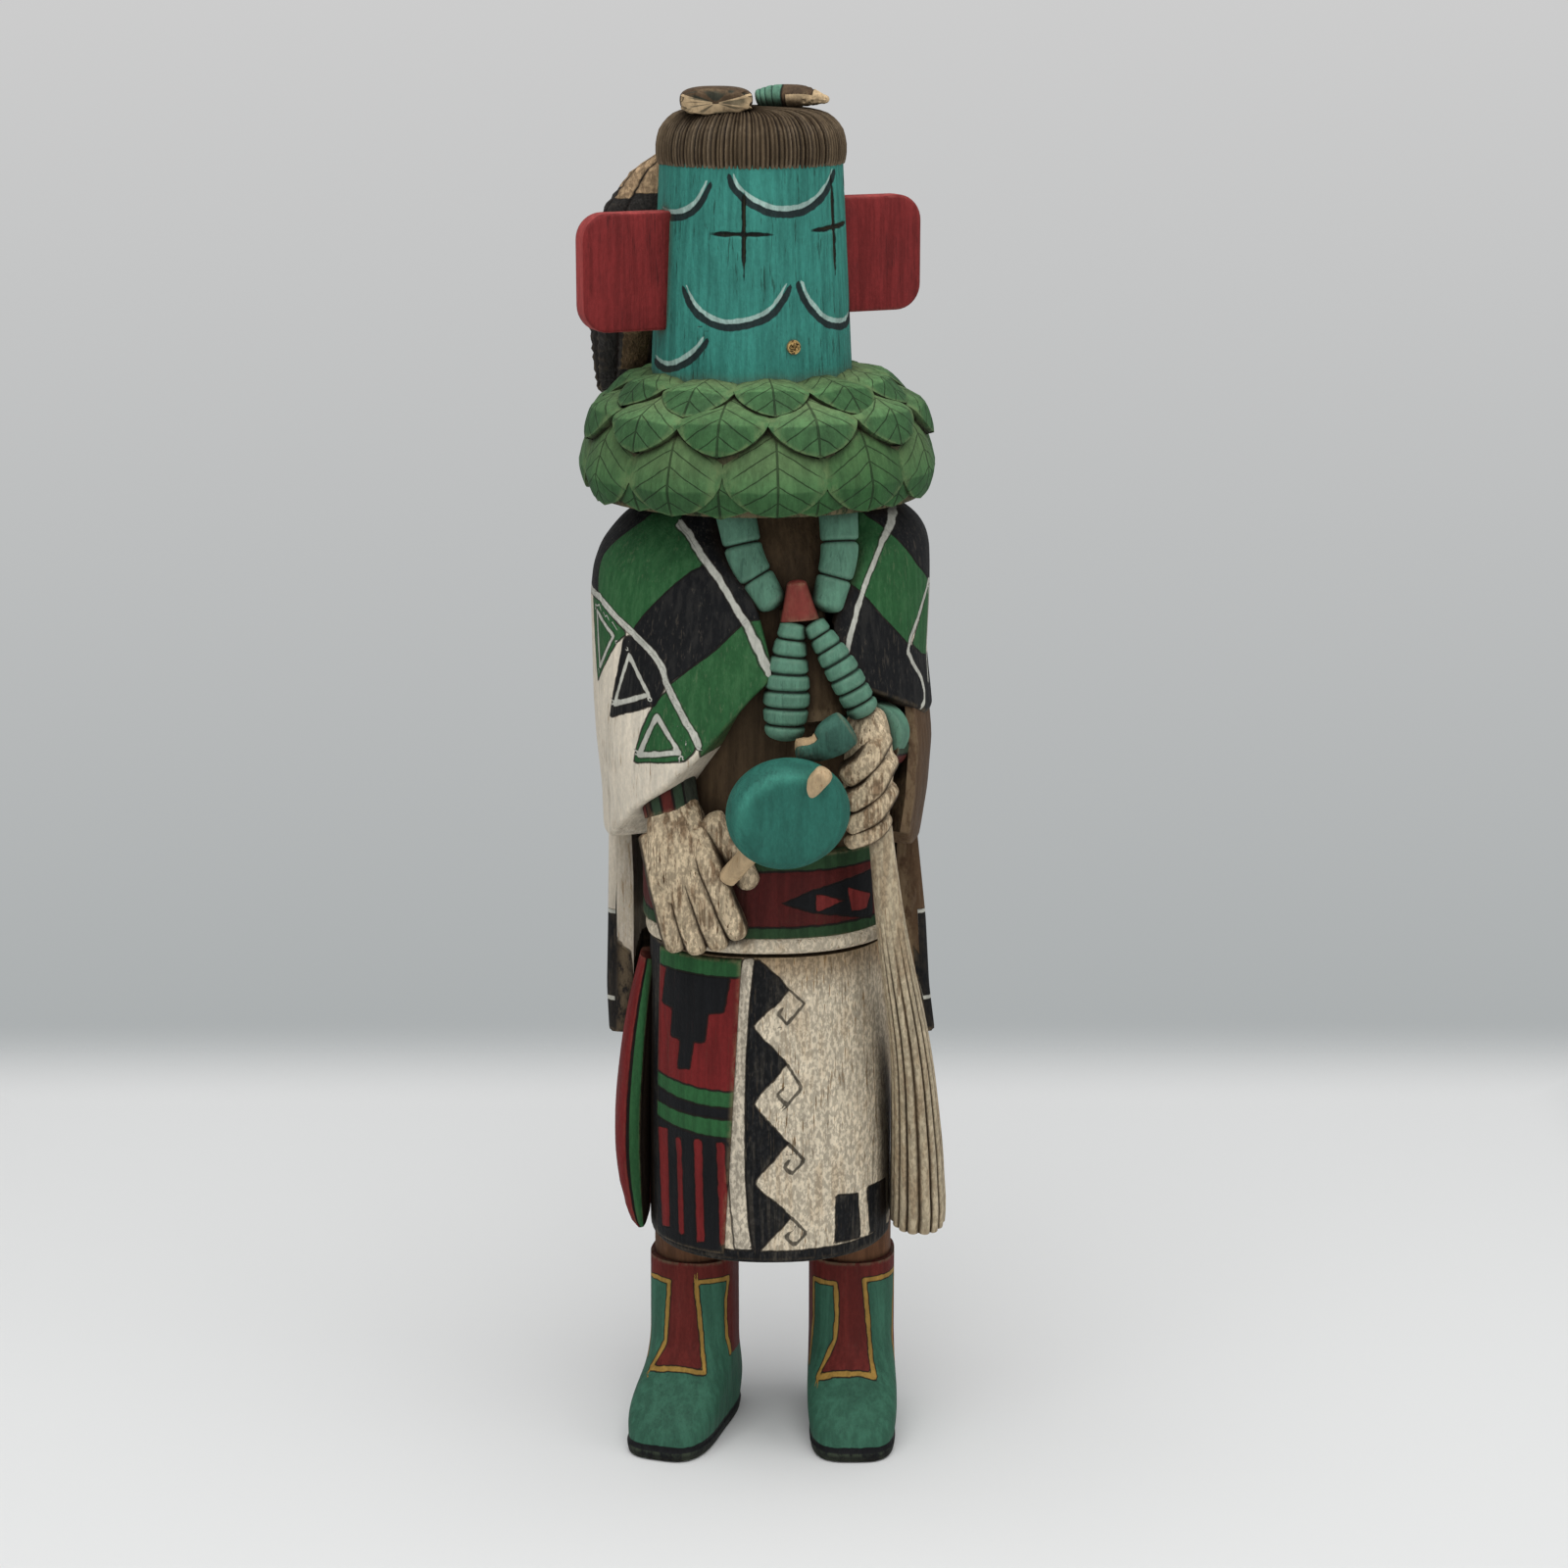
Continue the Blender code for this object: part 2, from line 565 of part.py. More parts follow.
def necklace():
    """The two strands, the red bead and the two ribbed tails."""
    return [
        strand("right_strand_form", RIGHT_STRAND, STRAND_STONES, STRAND_DEPTH),
        strand("left_strand_form", LEFT_STRAND, STRAND_STONES, STRAND_DEPTH),
        strand("right_tail_form", RIGHT_TAIL, TAIL_RIBS, TAIL_DEPTH),
        strand("left_tail_form", LEFT_TAIL, TAIL_RIBS, TAIL_DEPTH),
        limb("bead_form", BEAD, sides=6, power=3.0),
        limb("tail_block_form", TAIL_BLOCK),
    ]


def hangings():
    """The front sash panel, the side sash and the pleated cord fringe."""
    panel = []
    for i in range(7):
        edges = [low + (high - low) * i / 6 for low, high in (PANEL_UPPER_X, PANEL_LOWER_X)]
        panel.append((turn_at(BODY, sum(edges) / 2, PANEL_LEVEL), PANEL_TOP, PANEL_FOOT))
    return [
        wrap("panel_form", BODY, panel, 4, PANEL_DEPTH, PANEL_LIFT),
        limb("side_sash_form", SIDE_SASH, power=2.6),
        limb("fringe_form", FRINGE, sides=16, power=2.4, lobes=FRINGE_PLEAT),
    ]


def boots():
    """Both boots, with the legs that run up into the kilt."""
    shapes = []
    for i, (x, splay) in enumerate(BOOT_PLACES):
        rings = []
        spin = Matrix.Rotation(splay, 3, "Z")
        for height, half_width, heel, toe in BOOT:
            middle = at(0, (heel - toe) / 2.0, height)
            across, along = at(half_width, 0, 0), at(0, (heel + toe) / 2.0, 0)
            outline = ring(middle, across, along, LEG_SIDES, 2.5)
            rings.append([spin @ point + at(x, SHANK_Y, 0) for point in outline])
        shapes.append(loft(f"boot_form_{i}", rings))
        ends = (BOOT_TOP - LEG_OVERLAP, HEM + LEG_OVERLAP)
        leg = [((x, SHANK_Y, height), LEG_RADIUS, LEG_RADIUS) for height in ends]
        shapes.append(limb(f"leg_form_{i}", leg, sides=LEG_SIDES))
    return shapes


def ear(name, side, grow=0.0):
    """A flat ear with rounded corners, let into the mask at one side. Grown, it is its own slot."""
    mask_radius = between(MASK, EAR_MIDDLE)[0] * SHARE
    inner = mask_radius - EAR_INSET - grow
    outer = mask_radius - EAR_INSET + EAR_LENGTH + grow
    half = EAR_HEIGHT / 2.0 + grow
    corner = EAR_CORNER + grow
    outline = [(inner, -half), (outer - corner, -half)]
    for start in (-90.0, 0.0):
        for i in range(6):
            turn = radians(start + 90.0 * i / 5)
            rise = half - corner if start == 0.0 else corner - half
            outline.append((outer - corner + corner * cos(turn), rise + corner * sin(turn)))
    outline += [(outer - corner, half), (inner, half)]
    middle = head_at(0, 0, EAR_MIDDLE)
    outward = Vector((side * cos(HEAD_TURN), side * sin(HEAD_TURN), 0.0))
    thick = Vector((-sin(HEAD_TURN), cos(HEAD_TURN), 0.0)) * (EAR_THICK / 2.0 + grow)
    rings = []
    for face in (-1.0, 1.0):
        place = [middle + outward * a + Vector((0, 0, b)) + thick * face for a, b in outline]
        rings.append(place)
    return loft(name, rings)


def rounded(shape, width, segments):
    """Rounds a piece's edges."""
    weld = shape.modifiers.new("weld", "WELD")
    weld.merge_threshold = WELD
    bevel = shape.modifiers.new("edges", "BEVEL")
    bevel.width = width
    bevel.segments = segments
    bevel.limit_method = "ANGLE"
    bevel.angle_limit = BEVEL_ANGLE
    return shape


def peg(name, grow=0.0):
    """The snapped snout peg in its bore. Grown, it is the bore."""
    out = between(MASK, SNOUT_HEIGHT)[0] * SHARE + (PEG_PROUD if grow == 0.0 else PEG_LENGTH)
    inner = between(MASK, SNOUT_HEIGHT)[0] * SHARE + PEG_PROUD - PEG_LENGTH - grow
    ahead = Vector((sin(HEAD_TURN), -cos(HEAD_TURN), 0.0))
    across = Vector((cos(HEAD_TURN), sin(HEAD_TURN), 0.0)) * (PEG_RADIUS + grow)
    up = Vector((0.0, 0.0, PEG_RADIUS + grow))
    middle = head_at(0, 0, SNOUT_HEIGHT)
    return loft(name, [ring(middle + ahead * reach, across, up, SMALL_SIDES) for reach in (inner, out)])


def feathers(name, grow=0.0):
    """The bundle of feathers behind the head. Grown, it is its own seat in head and ruff."""
    rings = []
    behind_way = Vector((-sin(HEAD_TURN), cos(HEAD_TURN), 0.0))
    side_way = Vector((cos(HEAD_TURN), sin(HEAD_TURN), 0.0))
    last = len(FEATHERS) - 1
    for i, (height, behind, half_width, half_depth) in enumerate(FEATHERS):
        rise = {0: -grow, last: grow}.get(i, 0.0)
        centre = head_at(FEATHERS_SIDE, behind, height) + Vector((0.0, 0.0, rise))
        across = side_way * (half_width * SHARE + grow)
        along = behind_way * (half_depth * SHARE + grow)
        rings.append(ring(centre, across, along, 4 * FEATHERS_GROOVES, 2.2, FEATHERS_GROOVE_DEPTH))
    return loft(name, rings)


def lengthened(rings, way):
    """A slot's rings with both end rings moved outwards by the clearance."""
    first = [point - way for point in rings[0]]
    last = [point + way for point in rings[-1]]
    return [first, *rings[1:-1], last]


def crest_right(name, grow=0.0):
    """The broken flat stump of the crest on the doll's right. Grown, it is its own seat."""
    rings = []
    for y, half_width, half_rise, height in CREST_RIGHT:
        across = Vector((half_width * SHARE + grow, 0.0, 0.0))
        up = Vector((0.0, 0.0, half_rise * SHARE + grow))
        rings.append(ring(at(CREST_RIGHT_X, y, height), across, up, LEG_SIDES, 2.8))
    return loft(name, lengthened(rings, Vector((0.0, grow, 0.0))))


def crest_left(name, grow=0.0):
    """The wrapped stump of the crest on the doll's left, with its splinter. Grown, it is its own seat."""
    rings = []
    for place, radius in CREST_LEFT:
        across = Vector(CREST_LEFT_ACROSS).normalized() * (radius * SHARE * CREST_LEFT_BROAD + grow)
        up = Vector((0.0, 0.0, radius * SHARE + grow))
        rings.append(ring(at(*place), across, up, SMALL_SIDES))
    return loft(name, lengthened(rings, Vector((grow, 0.0, 0.0))))


def rattle_frame():
    """The gourd's middle, the way along the handle and the way the gourd's face looks."""
    return at(*RATTLE_MIDDLE), Vector(RATTLE_AXIS).normalized(), Vector(GOURD_FACE).normalized()


def rattle_handle(name, grow=0.0):
    """The stick through the gourd. Grown, it is the bore."""
    middle, along, face = rattle_frame()
    radius = HANDLE_RADIUS + grow
    across = along.cross(face).normalized() * radius
    depth = across.cross(along)
    top = GOURD_RADIUS + HANDLE_OVERHANG + grow
    tip = 1.0 if grow else HANDLE_TIP
    stations = ((-HANDLE_REACH - grow, 1.0), (top - HANDLE_RADIUS / 2.0, 1.0), (top, tip))
    rings = []
    for reach, size in stations:
        rings.append(ring(middle + along * reach, across * size, depth * size, SMALL_SIDES))
    return loft(name, rings)


def gourd(name, grow=0.0):
    """The disc-shaped gourd, with a round rim."""
    middle, along, face = rattle_frame()
    across = along.cross(face).normalized()
    up = face.cross(across)
    half = GOURD_THICK / 2.0 + grow
    radius = GOURD_RADIUS + grow
    rings = []
    for i in range(GOURD_STEPS + 1):
        turn = radians(-GOURD_ROUNDING + 2.0 * GOURD_ROUNDING * i / GOURD_STEPS)
        reach = radius - half * GOURD_RIM * (1.0 - cos(turn))
        rise = half * sin(turn) / sin(radians(GOURD_ROUNDING))
        rings.append(ring(middle + face * rise, across * reach, up * reach, 20))
    return loft(name, rings)


def held_stub(name, grow=0.0):
    """The broken thing in the left hand: a turquoise neck that widens to a snapped end."""
    rings = []
    for place, radius in STUB:
        across = Vector(STUB_ACROSS).normalized() * (radius * SHARE + grow)
        depth = Vector((0.0, 1.0, 0.0)) * (radius * SHARE * STUB_FLATNESS + grow)
        rings.append(ring(at(*place), across, depth, SMALL_SIDES))
    way = (at(*STUB[-1][0]) - at(*STUB[0][0])).normalized() * grow
    return loft(name, lengthened(rings, way))


def build():
    """Every separate piece of the doll."""
    figure = body()
    forms = head() + ruff() + cape() + right_arm() + left_arm() + necklace() + hangings() + boots()
    combined(figure, "forms", "UNION", forms, "MANIFOLD")  # the exact way leaves open edges here
    seats = [
        ear("ear_right_slot", -1.0, FIT_GAP),
        ear("ear_left_slot", 1.0, FIT_GAP),
        peg("snout_bore", FIT_GAP),
        feathers("feathers_seat", FIT_GAP),
        crest_right("crest_right_seat", FIT_GAP),
        crest_left("crest_left_seat", FIT_GAP),
        rattle_handle("handle_seat", FIT_GAP),
        gourd("gourd_seat", FIT_GAP),
        held_stub("held_stub_seat", FIT_GAP),
    ]
    combined(figure, "seats", "DIFFERENCE", seats, "MANIFOLD")
    painted(figure, MIXED_PAINT)
    for name, side in (("ear_right", -1.0), ("ear_left", 1.0)):
        painted(rounded(ear(name, side), EAR_BEVEL, 1), RED_PAINT)
    painted(peg("snout_peg"), BARE_WOOD)
    painted(feathers("back_feathers"), BROWN_PAINT)
    painted(crest_right("crest_stump_right"), BROWN_PAINT)
    painted(crest_left("crest_stump_left"), TURQUOISE_PAINT)
    disc = gourd("rattle_gourd")
    combined(disc, "bore", "DIFFERENCE", [rattle_handle("gourd_bore", BORE_GAP)])
    painted(disc, TURQUOISE_PAINT)
    painted(rattle_handle("rattle_handle"), BARE_WOOD)
    stub = held_stub("held_stub")
    combined(stub, "clear", "DIFFERENCE", [
        gourd("stub_clear_of_gourd", FIT_GAP),
        rattle_handle("stub_clear_of_handle", FIT_GAP),
    ])
    painted(stub, TURQUOISE_PAINT)


for old in list(bpy.data.objects):
    bpy.data.objects.remove(old, do_unlink=True)
build()
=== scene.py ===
"""The carved katsina doll as it looks: painted cottonwood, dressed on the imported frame.

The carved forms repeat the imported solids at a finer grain. Their sizes are in millimetres until a
mesh is made, measured from the body's axis, which stands BODY_Y behind the origin. Turns are in
degrees from the front and grow towards the doll's left. A painted mark is kept as attributes that
hold the distance to its edge in millimetres, and the paints read those.
"""
import logging
from collections.abc import Callable, Sequence
from dataclasses import dataclass
from enum import Enum

import bmesh
import bpy
import numpy as np
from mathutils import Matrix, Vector


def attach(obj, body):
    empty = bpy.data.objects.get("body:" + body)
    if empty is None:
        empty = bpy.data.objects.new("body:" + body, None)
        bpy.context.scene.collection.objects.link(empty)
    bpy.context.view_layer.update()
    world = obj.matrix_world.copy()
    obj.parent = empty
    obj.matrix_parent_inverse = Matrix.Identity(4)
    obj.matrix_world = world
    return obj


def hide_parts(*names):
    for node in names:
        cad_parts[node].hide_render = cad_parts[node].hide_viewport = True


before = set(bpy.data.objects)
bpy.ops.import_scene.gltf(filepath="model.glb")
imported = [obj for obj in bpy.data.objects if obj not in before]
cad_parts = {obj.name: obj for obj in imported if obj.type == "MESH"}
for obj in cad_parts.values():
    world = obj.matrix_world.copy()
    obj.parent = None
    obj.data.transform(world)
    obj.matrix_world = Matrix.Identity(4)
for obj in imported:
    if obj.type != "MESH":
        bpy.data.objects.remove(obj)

LOG = logging.getLogger("katsina")
MM = 0.001
BODY_Y = 0.0046  # the body's axis stands this far behind the origin
HEAD_TURN = np.radians(24.5)  # the head looks this far to the doll's left
HEAD_X = -5.0
RUFF_X = -3.3
WELD = 1e-7
AWAY = -9.0  # what a form without a mark reads in place of the depth inside it, in millimetres
HAND = 0.16  # how unsteady the painter's hand is, and how soft a mark's edge, in millimetres
SHARP = np.radians(48)  # steeper edges than this stay sharp
STEPS = (-1.0, -0.5, 0.0, 0.5, 1.0)  # where values are read for a soft average

Array = np.ndarray
Piece = bpy.types.Object
Finish = bpy.types.Material
Socket = bpy.types.NodeSocket
Node = bpy.types.Node
Colour = tuple[float, float, float, float]
Point = tuple[float, float, float]
Spots = Sequence[tuple[float, float]]
Place = Callable[[Array, Array], Array]
Fields = dict[str, Array]
FieldsAt = Callable[[Array, Array], Fields]
Paints = dict[str, Finish]


def srgb(red: float, green: float, blue: float) -> Colour:
    """Turns a colour as seen on a screen, 0 to 255, into the shader's own numbers.

    Args:
        red: the colour's red.
        green: its green.
        blue: its blue.

    Returns:
        The linear colour with full alpha.
    """
    shares = np.array((red, green, blue)) / 255.0
    low = shares / 12.92
    high = ((shares + 0.055) / 1.055) ** 2.4
    return (*(float(part) for part in np.where(shares <= 0.04045, low, high)), 1.0)


def eased(value: Array, low: float, high: float) -> Array:
    """Rises smoothly from 0 at one value to 1 at another."""
    share = np.clip((value - low) / (high - low), 0, 1)
    return share * share * (3.0 - 2.0 * share)


def spread(*stops: tuple[float, float]) -> Array:
    """Lays out values from stop to stop, each stretch at its own spacing.

    Args:
        stops: pairs of a value and the spacing up to the next stop.

    Returns:
        The values in order.
    """
    runs = []
    for (start, gap), (end, _) in zip(stops, stops[1:]):
        count = max(1, round(abs(end - start) / gap))
        runs.append(np.linspace(start, end, count, endpoint=False))
    return np.concatenate([*runs, [stops[-1][0]]])


def edge_drop(distance: Array, radius: float) -> Array:
    """Gives how far a surface falls away near its rounded edge."""
    share = 1.0 - np.clip(distance / radius, 0, 1)
    return radius * (1.0 - np.sqrt(np.maximum(1.0 - share * share, 0)))


def area_distance(points: Array, outline: Array) -> Array:
    """Measures how deep points lie inside a closed outline.

    Args:
        points: the points, as pairs.
        outline: the outline's corners.

    Returns:
        Distances, positive inside.
    """
    start = outline
    end = np.roll(outline, -1, axis=0)
    way = end - start
    reach = points[:, None, :] - start
    along = np.clip((reach * way).sum(-1) / (way * way).sum(-1), 0, 1)
    gap = reach - along[..., None] * way
    distance = np.sqrt((gap * gap).sum(-1)).min(1)
    rise = np.where(way[:, 1] == 0.0, 1e-9, way[:, 1])
    level = points[:, None, 1]
    crosses = (start[:, 1] > level) != (end[:, 1] > level)
    left = points[:, None, 0] < start[:, 0] + way[:, 0] * (level - start[:, 1]) / rise
    inside = (crosses & left).sum(1) % 2 == 1
    return np.where(inside, distance, -distance)


@dataclass(frozen=True)
class Stroke:
    """A brush line: its course, its half width in millimetres and how much its ends thin out."""

    course: Spots
    half: float
    closed: bool = False
    taper: float = 0.0

    def measure(self, points: Array, scale: float) -> tuple[Array, Array]:
        """Measures points against the line.

        Args:
            points: the points, in millimetres on the surface.
            scale: millimetres for one degree of turn.

        Returns:
            The offset to either side, and the line's half width beside each point.
        """
        course = np.array(self.course) * (scale, 1.0)
        if self.closed:
            course = np.vstack([course, course[:1]])
        start = course[:-1]
        way = np.diff(course, axis=0)
        size = np.hypot(way[:, 0], way[:, 1])
        reach = points[:, None, :] - start
        raw = (reach * way).sum(-1) / (size * size)
        along = np.clip(raw, 0, 1)
        gap = reach - along[..., None] * way
        distance = np.sqrt((gap * gap).sum(-1))
        best = distance.argmin(1)
        row = np.arange(len(points))
        near = gap[row, best]
        side = way[best, 0] * near[:, 1] - way[best, 1] * near[:, 0]
        offset = np.copysign(distance[row, best], side)
        run = (np.cumsum(size) - size)[best] + along[row, best] * size[best]
        share = np.abs(2.0 * run / size.sum() - 1.0)
        half = self.half * (1.0 - self.taper * share**3)
        if not self.closed:
            raw = raw[row, best]
            before = np.where(best == 0, np.maximum(-raw, 0), 0.0)
            after = np.where(best == len(size) - 1, np.maximum(raw - 1.0, 0), 0.0)
            half = half - (before + after) * size[best]
        return offset, half


@dataclass(frozen=True)
class Pattern:
    """The painted marks of one surface, laid out in turns and heights."""

    scale: float  # millimetres for one degree of turn
    areas: dict[str, Sequence[Spots]]
    lines: dict[str, Sequence[Stroke]]
    reach: float = 2.6  # beyond this a line isn't felt

    def fields(self, turns: Array, heights: Array) -> Fields:
        """Measures every mark at every point.

        Args:
            turns: the points' turns.
            heights: their heights.

        Returns:
            The attributes by name.
        """
        points = np.stack([turns * self.scale, heights], -1)
        found: Fields = {}
        for name, outlines in self.areas.items():
            shapes = [np.array(outline) * (self.scale, 1.0) for outline in outlines]
            found[f"area_{name}"] = np.max([area_distance(points, shape) for shape in shapes], 0)
        for name, strokes in self.lines.items():
            sets = [stroke.measure(points, self.scale) for stroke in strokes]
            offsets = np.array([offset for offset, _ in sets])
            halves = np.array([half for _, half in sets])
            best = (np.abs(offsets) - halves).argmin(0)
            row = np.arange(len(points))
            offset = offsets[best, row]
            half = np.where(np.abs(offset) < self.reach, halves[best, row], -1.0)
            found[f"line_{name}"] = offset
            found[f"half_{name}"] = half
        return found


def rounded(line: Spots, rounds: int = 2) -> Spots:
    """Cuts the corners of a course until it runs smoothly.

    Args:
        line: the course.
        rounds: how often every corner is cut.

    Returns:
        The smoother course, with the same ends.
    """
    spots = np.array(line, float)
    for _ in range(rounds):
        inner = np.stack([0.75 * spots[:-1] + 0.25 * spots[1:], 0.25 * spots[:-1] + 0.75 * spots[1:]], 1)
        spots = np.r_[spots[:1], inner.reshape(-1, 2), spots[-1:]]
    return tuple(map(tuple, spots))


def skin(name: str, around: Array, along: Array, place: Place, paint: Finish,
         fields: FieldsAt | None = None) -> Piece:
    """Makes a closed carved surface from a grid whose points are laid on the form.

    Args:
        name: the piece's name.
        around: the grid's values in its first direction.
        along: its values in its second direction.
        place: gives the points, in millimetres, for pairs of those values.
        paint: the surface's material.
        fields: gives the attributes for the same pairs.

    Returns:
        The finished object.
    """
    form = bmesh.new()
    bmesh.ops.create_grid(form, x_segments=len(around) - 1, y_segments=len(along) - 1, size=0.5)
    mesh = bpy.data.meshes.new(name)
    form.to_mesh(mesh)
    flat = np.empty(3 * len(mesh.vertices))
    mesh.vertices.foreach_get("co", flat)
    shares = flat.reshape(-1, 3)[:, :2] + 0.5
    first = around[np.rint(shares[:, 0] * (len(around) - 1)).astype(int)]
    second = along[np.rint(shares[:, 1] * (len(along) - 1)).astype(int)]
    points = place(first, second) * MM + (0.0, BODY_Y, 0.0)
    mesh.vertices.foreach_set("co", points.ravel())
    for field_name, values in (fields(first, second) if fields else {}).items():
        mesh.attributes.new(field_name, "FLOAT", "POINT").data.foreach_set("value", values)
    form.clear()
    form.from_mesh(mesh)
    bmesh.ops.remove_doubles(form, verts=form.verts, dist=WELD)
    bmesh.ops.dissolve_degenerate(form, edges=form.edges, dist=WELD)
    bmesh.ops.holes_fill(form, edges=form.edges)
    bmesh.ops.recalc_face_normals(form, faces=form.faces)
    form.to_mesh(mesh)
    form.free()
    return shown(name, mesh, paint)


def shown(name: str, mesh: bpy.types.Mesh, paint: Finish) -> Piece:
    """Puts a finished mesh in the scene, smooth and painted.

    Args:
        name: the piece's name.
        mesh: its mesh.
        paint: its material.

    Returns:
        The object.
    """
    piece = bpy.data.objects.new(name, mesh)
    bpy.context.scene.collection.objects.link(piece)
    mesh.materials.append(paint)
    mesh.shade_smooth()
    mesh.set_sharp_from_angle(angle=SHARP)
    return piece


def from_head(side: Array, behind: Array, heights: Array) -> Array:
    """Turns places on the head into places on the doll.

    Args:
        side: distances to the head's left.
        behind: distances behind the head's middle.
        heights: heights above the ground.

    Returns:
        The points.
    """
    x = HEAD_X + side * np.cos(HEAD_TURN) - behind * np.sin(HEAD_TURN)
    y = side * np.sin(HEAD_TURN) + behind * np.cos(HEAD_TURN)
    return np.stack(np.broadcast_arrays(x, y, heights), -1)


def oval(turns: Array, power: float) -> tuple[Array, Array]:
    """Gives the sideways and forward shares of a squarish oval.

    Args:
        turns: turns in degrees.
        power: how square the oval is, 2 being an ellipse.

    Returns:
        Both shares.
    """
    side, ahead = np.sin(np.radians(turns)), np.cos(np.radians(turns))
    bend = 2.0 / power
    return np.copysign(np.abs(side) ** bend, side), np.copysign(np.abs(ahead) ** bend, ahead)


def valleys(turns: Array, count: int, power: float) -> Array:
    """Gives the depth of the grooves between rounded ribs, from 0 to 1."""
    return (1.0 - np.abs(np.sin(np.radians(turns) * count / 2.0))) ** power


@dataclass(frozen=True)
class Form:
    """Cross-sections: height, middle, half width, depth in front and depth behind."""

    rows: Sequence[tuple[float, ...]]
    power: float = 2.25
    blend: float = 2.0  # heights over which the sections run into each other

    def sizes(self, heights: Array) -> list[Array]:
        """Gives the section's four sizes at some heights.

        Args:
            heights: the heights.

        Returns:
            Middle, half width, front depth and back depth.
        """
        table = np.array(self.rows)
        shifts = self.blend * np.array(STEPS)
        weights = (0.12, 0.24, 0.28, 0.24, 0.12)
        sizes = []
        for column in table.T[1:]:
            parts = [np.interp(heights + shift, table[:, 0], column) for shift in shifts]
            sizes.append(sum(weight * part for weight, part in zip(weights, parts)))
        return sizes

    def point(self, turns: Array, heights: Array, lift: Array | float = 0.0) -> Array:
        """Gives points on the form.

        Args:
            turns: turns from the front.
            heights: heights above the ground.
            lift: how far each point stands off the form.

        Returns:
            The points.
        """
        middle, half, front, back = self.sizes(heights)
        side, ahead = oval(turns, self.power)
        depth = np.where(ahead > 0.0, front, back)
        return np.stack([middle + (half + lift) * side, -(depth + lift) * ahead, heights], -1)

    def turn_at(self, x: float, height: float) -> float:
        """Finds the turn at which the form's front passes one x.

        Args:
            x: the place across.
            height: the height.

        Returns:
            The turn in degrees.
        """
        middle, half = (float(size) for size in self.sizes(np.array(height))[:2])
        share = min(abs(x - middle) / half, 1.0) ** (self.power / 2.0)
        return float(np.degrees(np.copysign(np.arcsin(share), x - middle)))


@dataclass(frozen=True)
class Limb:
    """A rounded form along a path of stations: a place, a half width and a half depth."""

    stations: Sequence[tuple[Point, float, float]]
    power: float = 2.0
    first_round: float = 0.0  # length over which the first end rounds off
    last_round: float = 0.0
    facing: Point = (0, -1, 0)

    def along(self, gap: float) -> Array:
        """Gives the path's steps, closer at rounded ends.

        Args:
            gap: the usual spacing in millimetres.

        Returns:
            Shares of the path from 0 to 1.
        """
        length = self.length()
        even = np.linspace(0, 1, max(3, round(length / gap)) + 1)
        curl = 1.0 - np.cos(np.linspace(0, np.pi / 2.0, 6))
        ends = [even]
        if self.first_round:
            ends.append(curl * self.first_round / length)
            even = even[(even == 0.0) | (even > self.first_round / length)]
        if self.last_round:
            ends.append(1.0 - curl * self.last_round / length)
            even = even[(even == 1.0) | (even < 1.0 - self.last_round / length)]
        ends[0] = even
        return np.unique(np.round(np.concatenate(ends), 6))

    def length(self) -> float:
        """Gives the path's length."""
        places = np.array([station[0] for station in self.stations])
        return float(np.linalg.norm(np.diff(places, axis=0), axis=1).sum())

    def values(self, table: Array, along: Array) -> Array:
        """Reads smooth values along the path.

        Args:
            table: one row for each station.
            along: shares of the path's length.

        Returns:
            The values.
        """
        places = np.array([station[0] for station in self.stations])
        run = np.r_[0.0, np.cumsum(np.linalg.norm(np.diff(places, axis=0), axis=1))]
        run = run / run[-1]
        room = np.minimum(np.minimum(along, 1.0 - along), 0.12)
        total = np.zeros((len(along), table.shape[1]))
        for step in STEPS:
            spot = along + step * room
            total += np.stack([np.interp(spot, run, column) for column in table.T], -1)
        return total / 5.0

    def point(self, turns: Array, along: Array, reach: Array | float = 1.0) -> Array:
        """Gives points on the limb.

        Args:
            turns: turns round the path, 90 being the side that faces the front.
            along: shares of the path's length.
            reach: the limb's size there, as a share of its own.

        Returns:
            The points.
        """
        table = np.array([(*place, width, depth) for place, width, depth in self.stations])
        here = self.values(table, along)
        step = 0.02
        ahead = self.values(table, np.minimum(along + step, 1))
        ahead = ahead - self.values(table, np.maximum(along - step, 0))
        ahead = ahead[:, :3] / np.linalg.norm(ahead[:, :3], axis=1)[:, None]
        across = np.cross(ahead, np.array(self.facing))
        across /= np.linalg.norm(across, axis=1)[:, None]
        depth = np.cross(across, ahead)
        length = self.length()
        size = np.ones(len(along))
        for gap, rounding in ((along, self.first_round), (1.0 - along, self.last_round)):
            if rounding:
                share = 1.0 - np.clip(gap * length / rounding, 0, 1)
                size = size * np.sqrt(np.maximum(1.0 - share * share, 0))
        front, side = oval(turns, self.power)
        wide = (side * here[:, 3] * size * reach)[:, None]
        deep = (front * here[:, 4] * size * reach)[:, None]
        return here[:, :3] + across * wide + depth * deep

    def build(self, name: str, paint: Finish, sides: int = 20, gap: float = 1.6,
              reach: Place | None = None,
              fields: FieldsAt | None = None) -> Piece:
        """Makes the limb's skin.

        Args:
            name: the piece's name.
            paint: its material.
            sides: points round it.
            gap: spacing along it in millimetres.
            reach: gives the carving's relief as a share of the size.
            fields: gives its attributes.

        Returns:
            The object.
        """
        def place(turns: Array, along: Array) -> Array:
            """Lays the grid on the limb."""
            return self.point(turns, along, reach(turns, along) if reach else 1.0)

        return skin(name, np.linspace(-180, 180, sides + 1), self.along(gap), place, paint, fields)


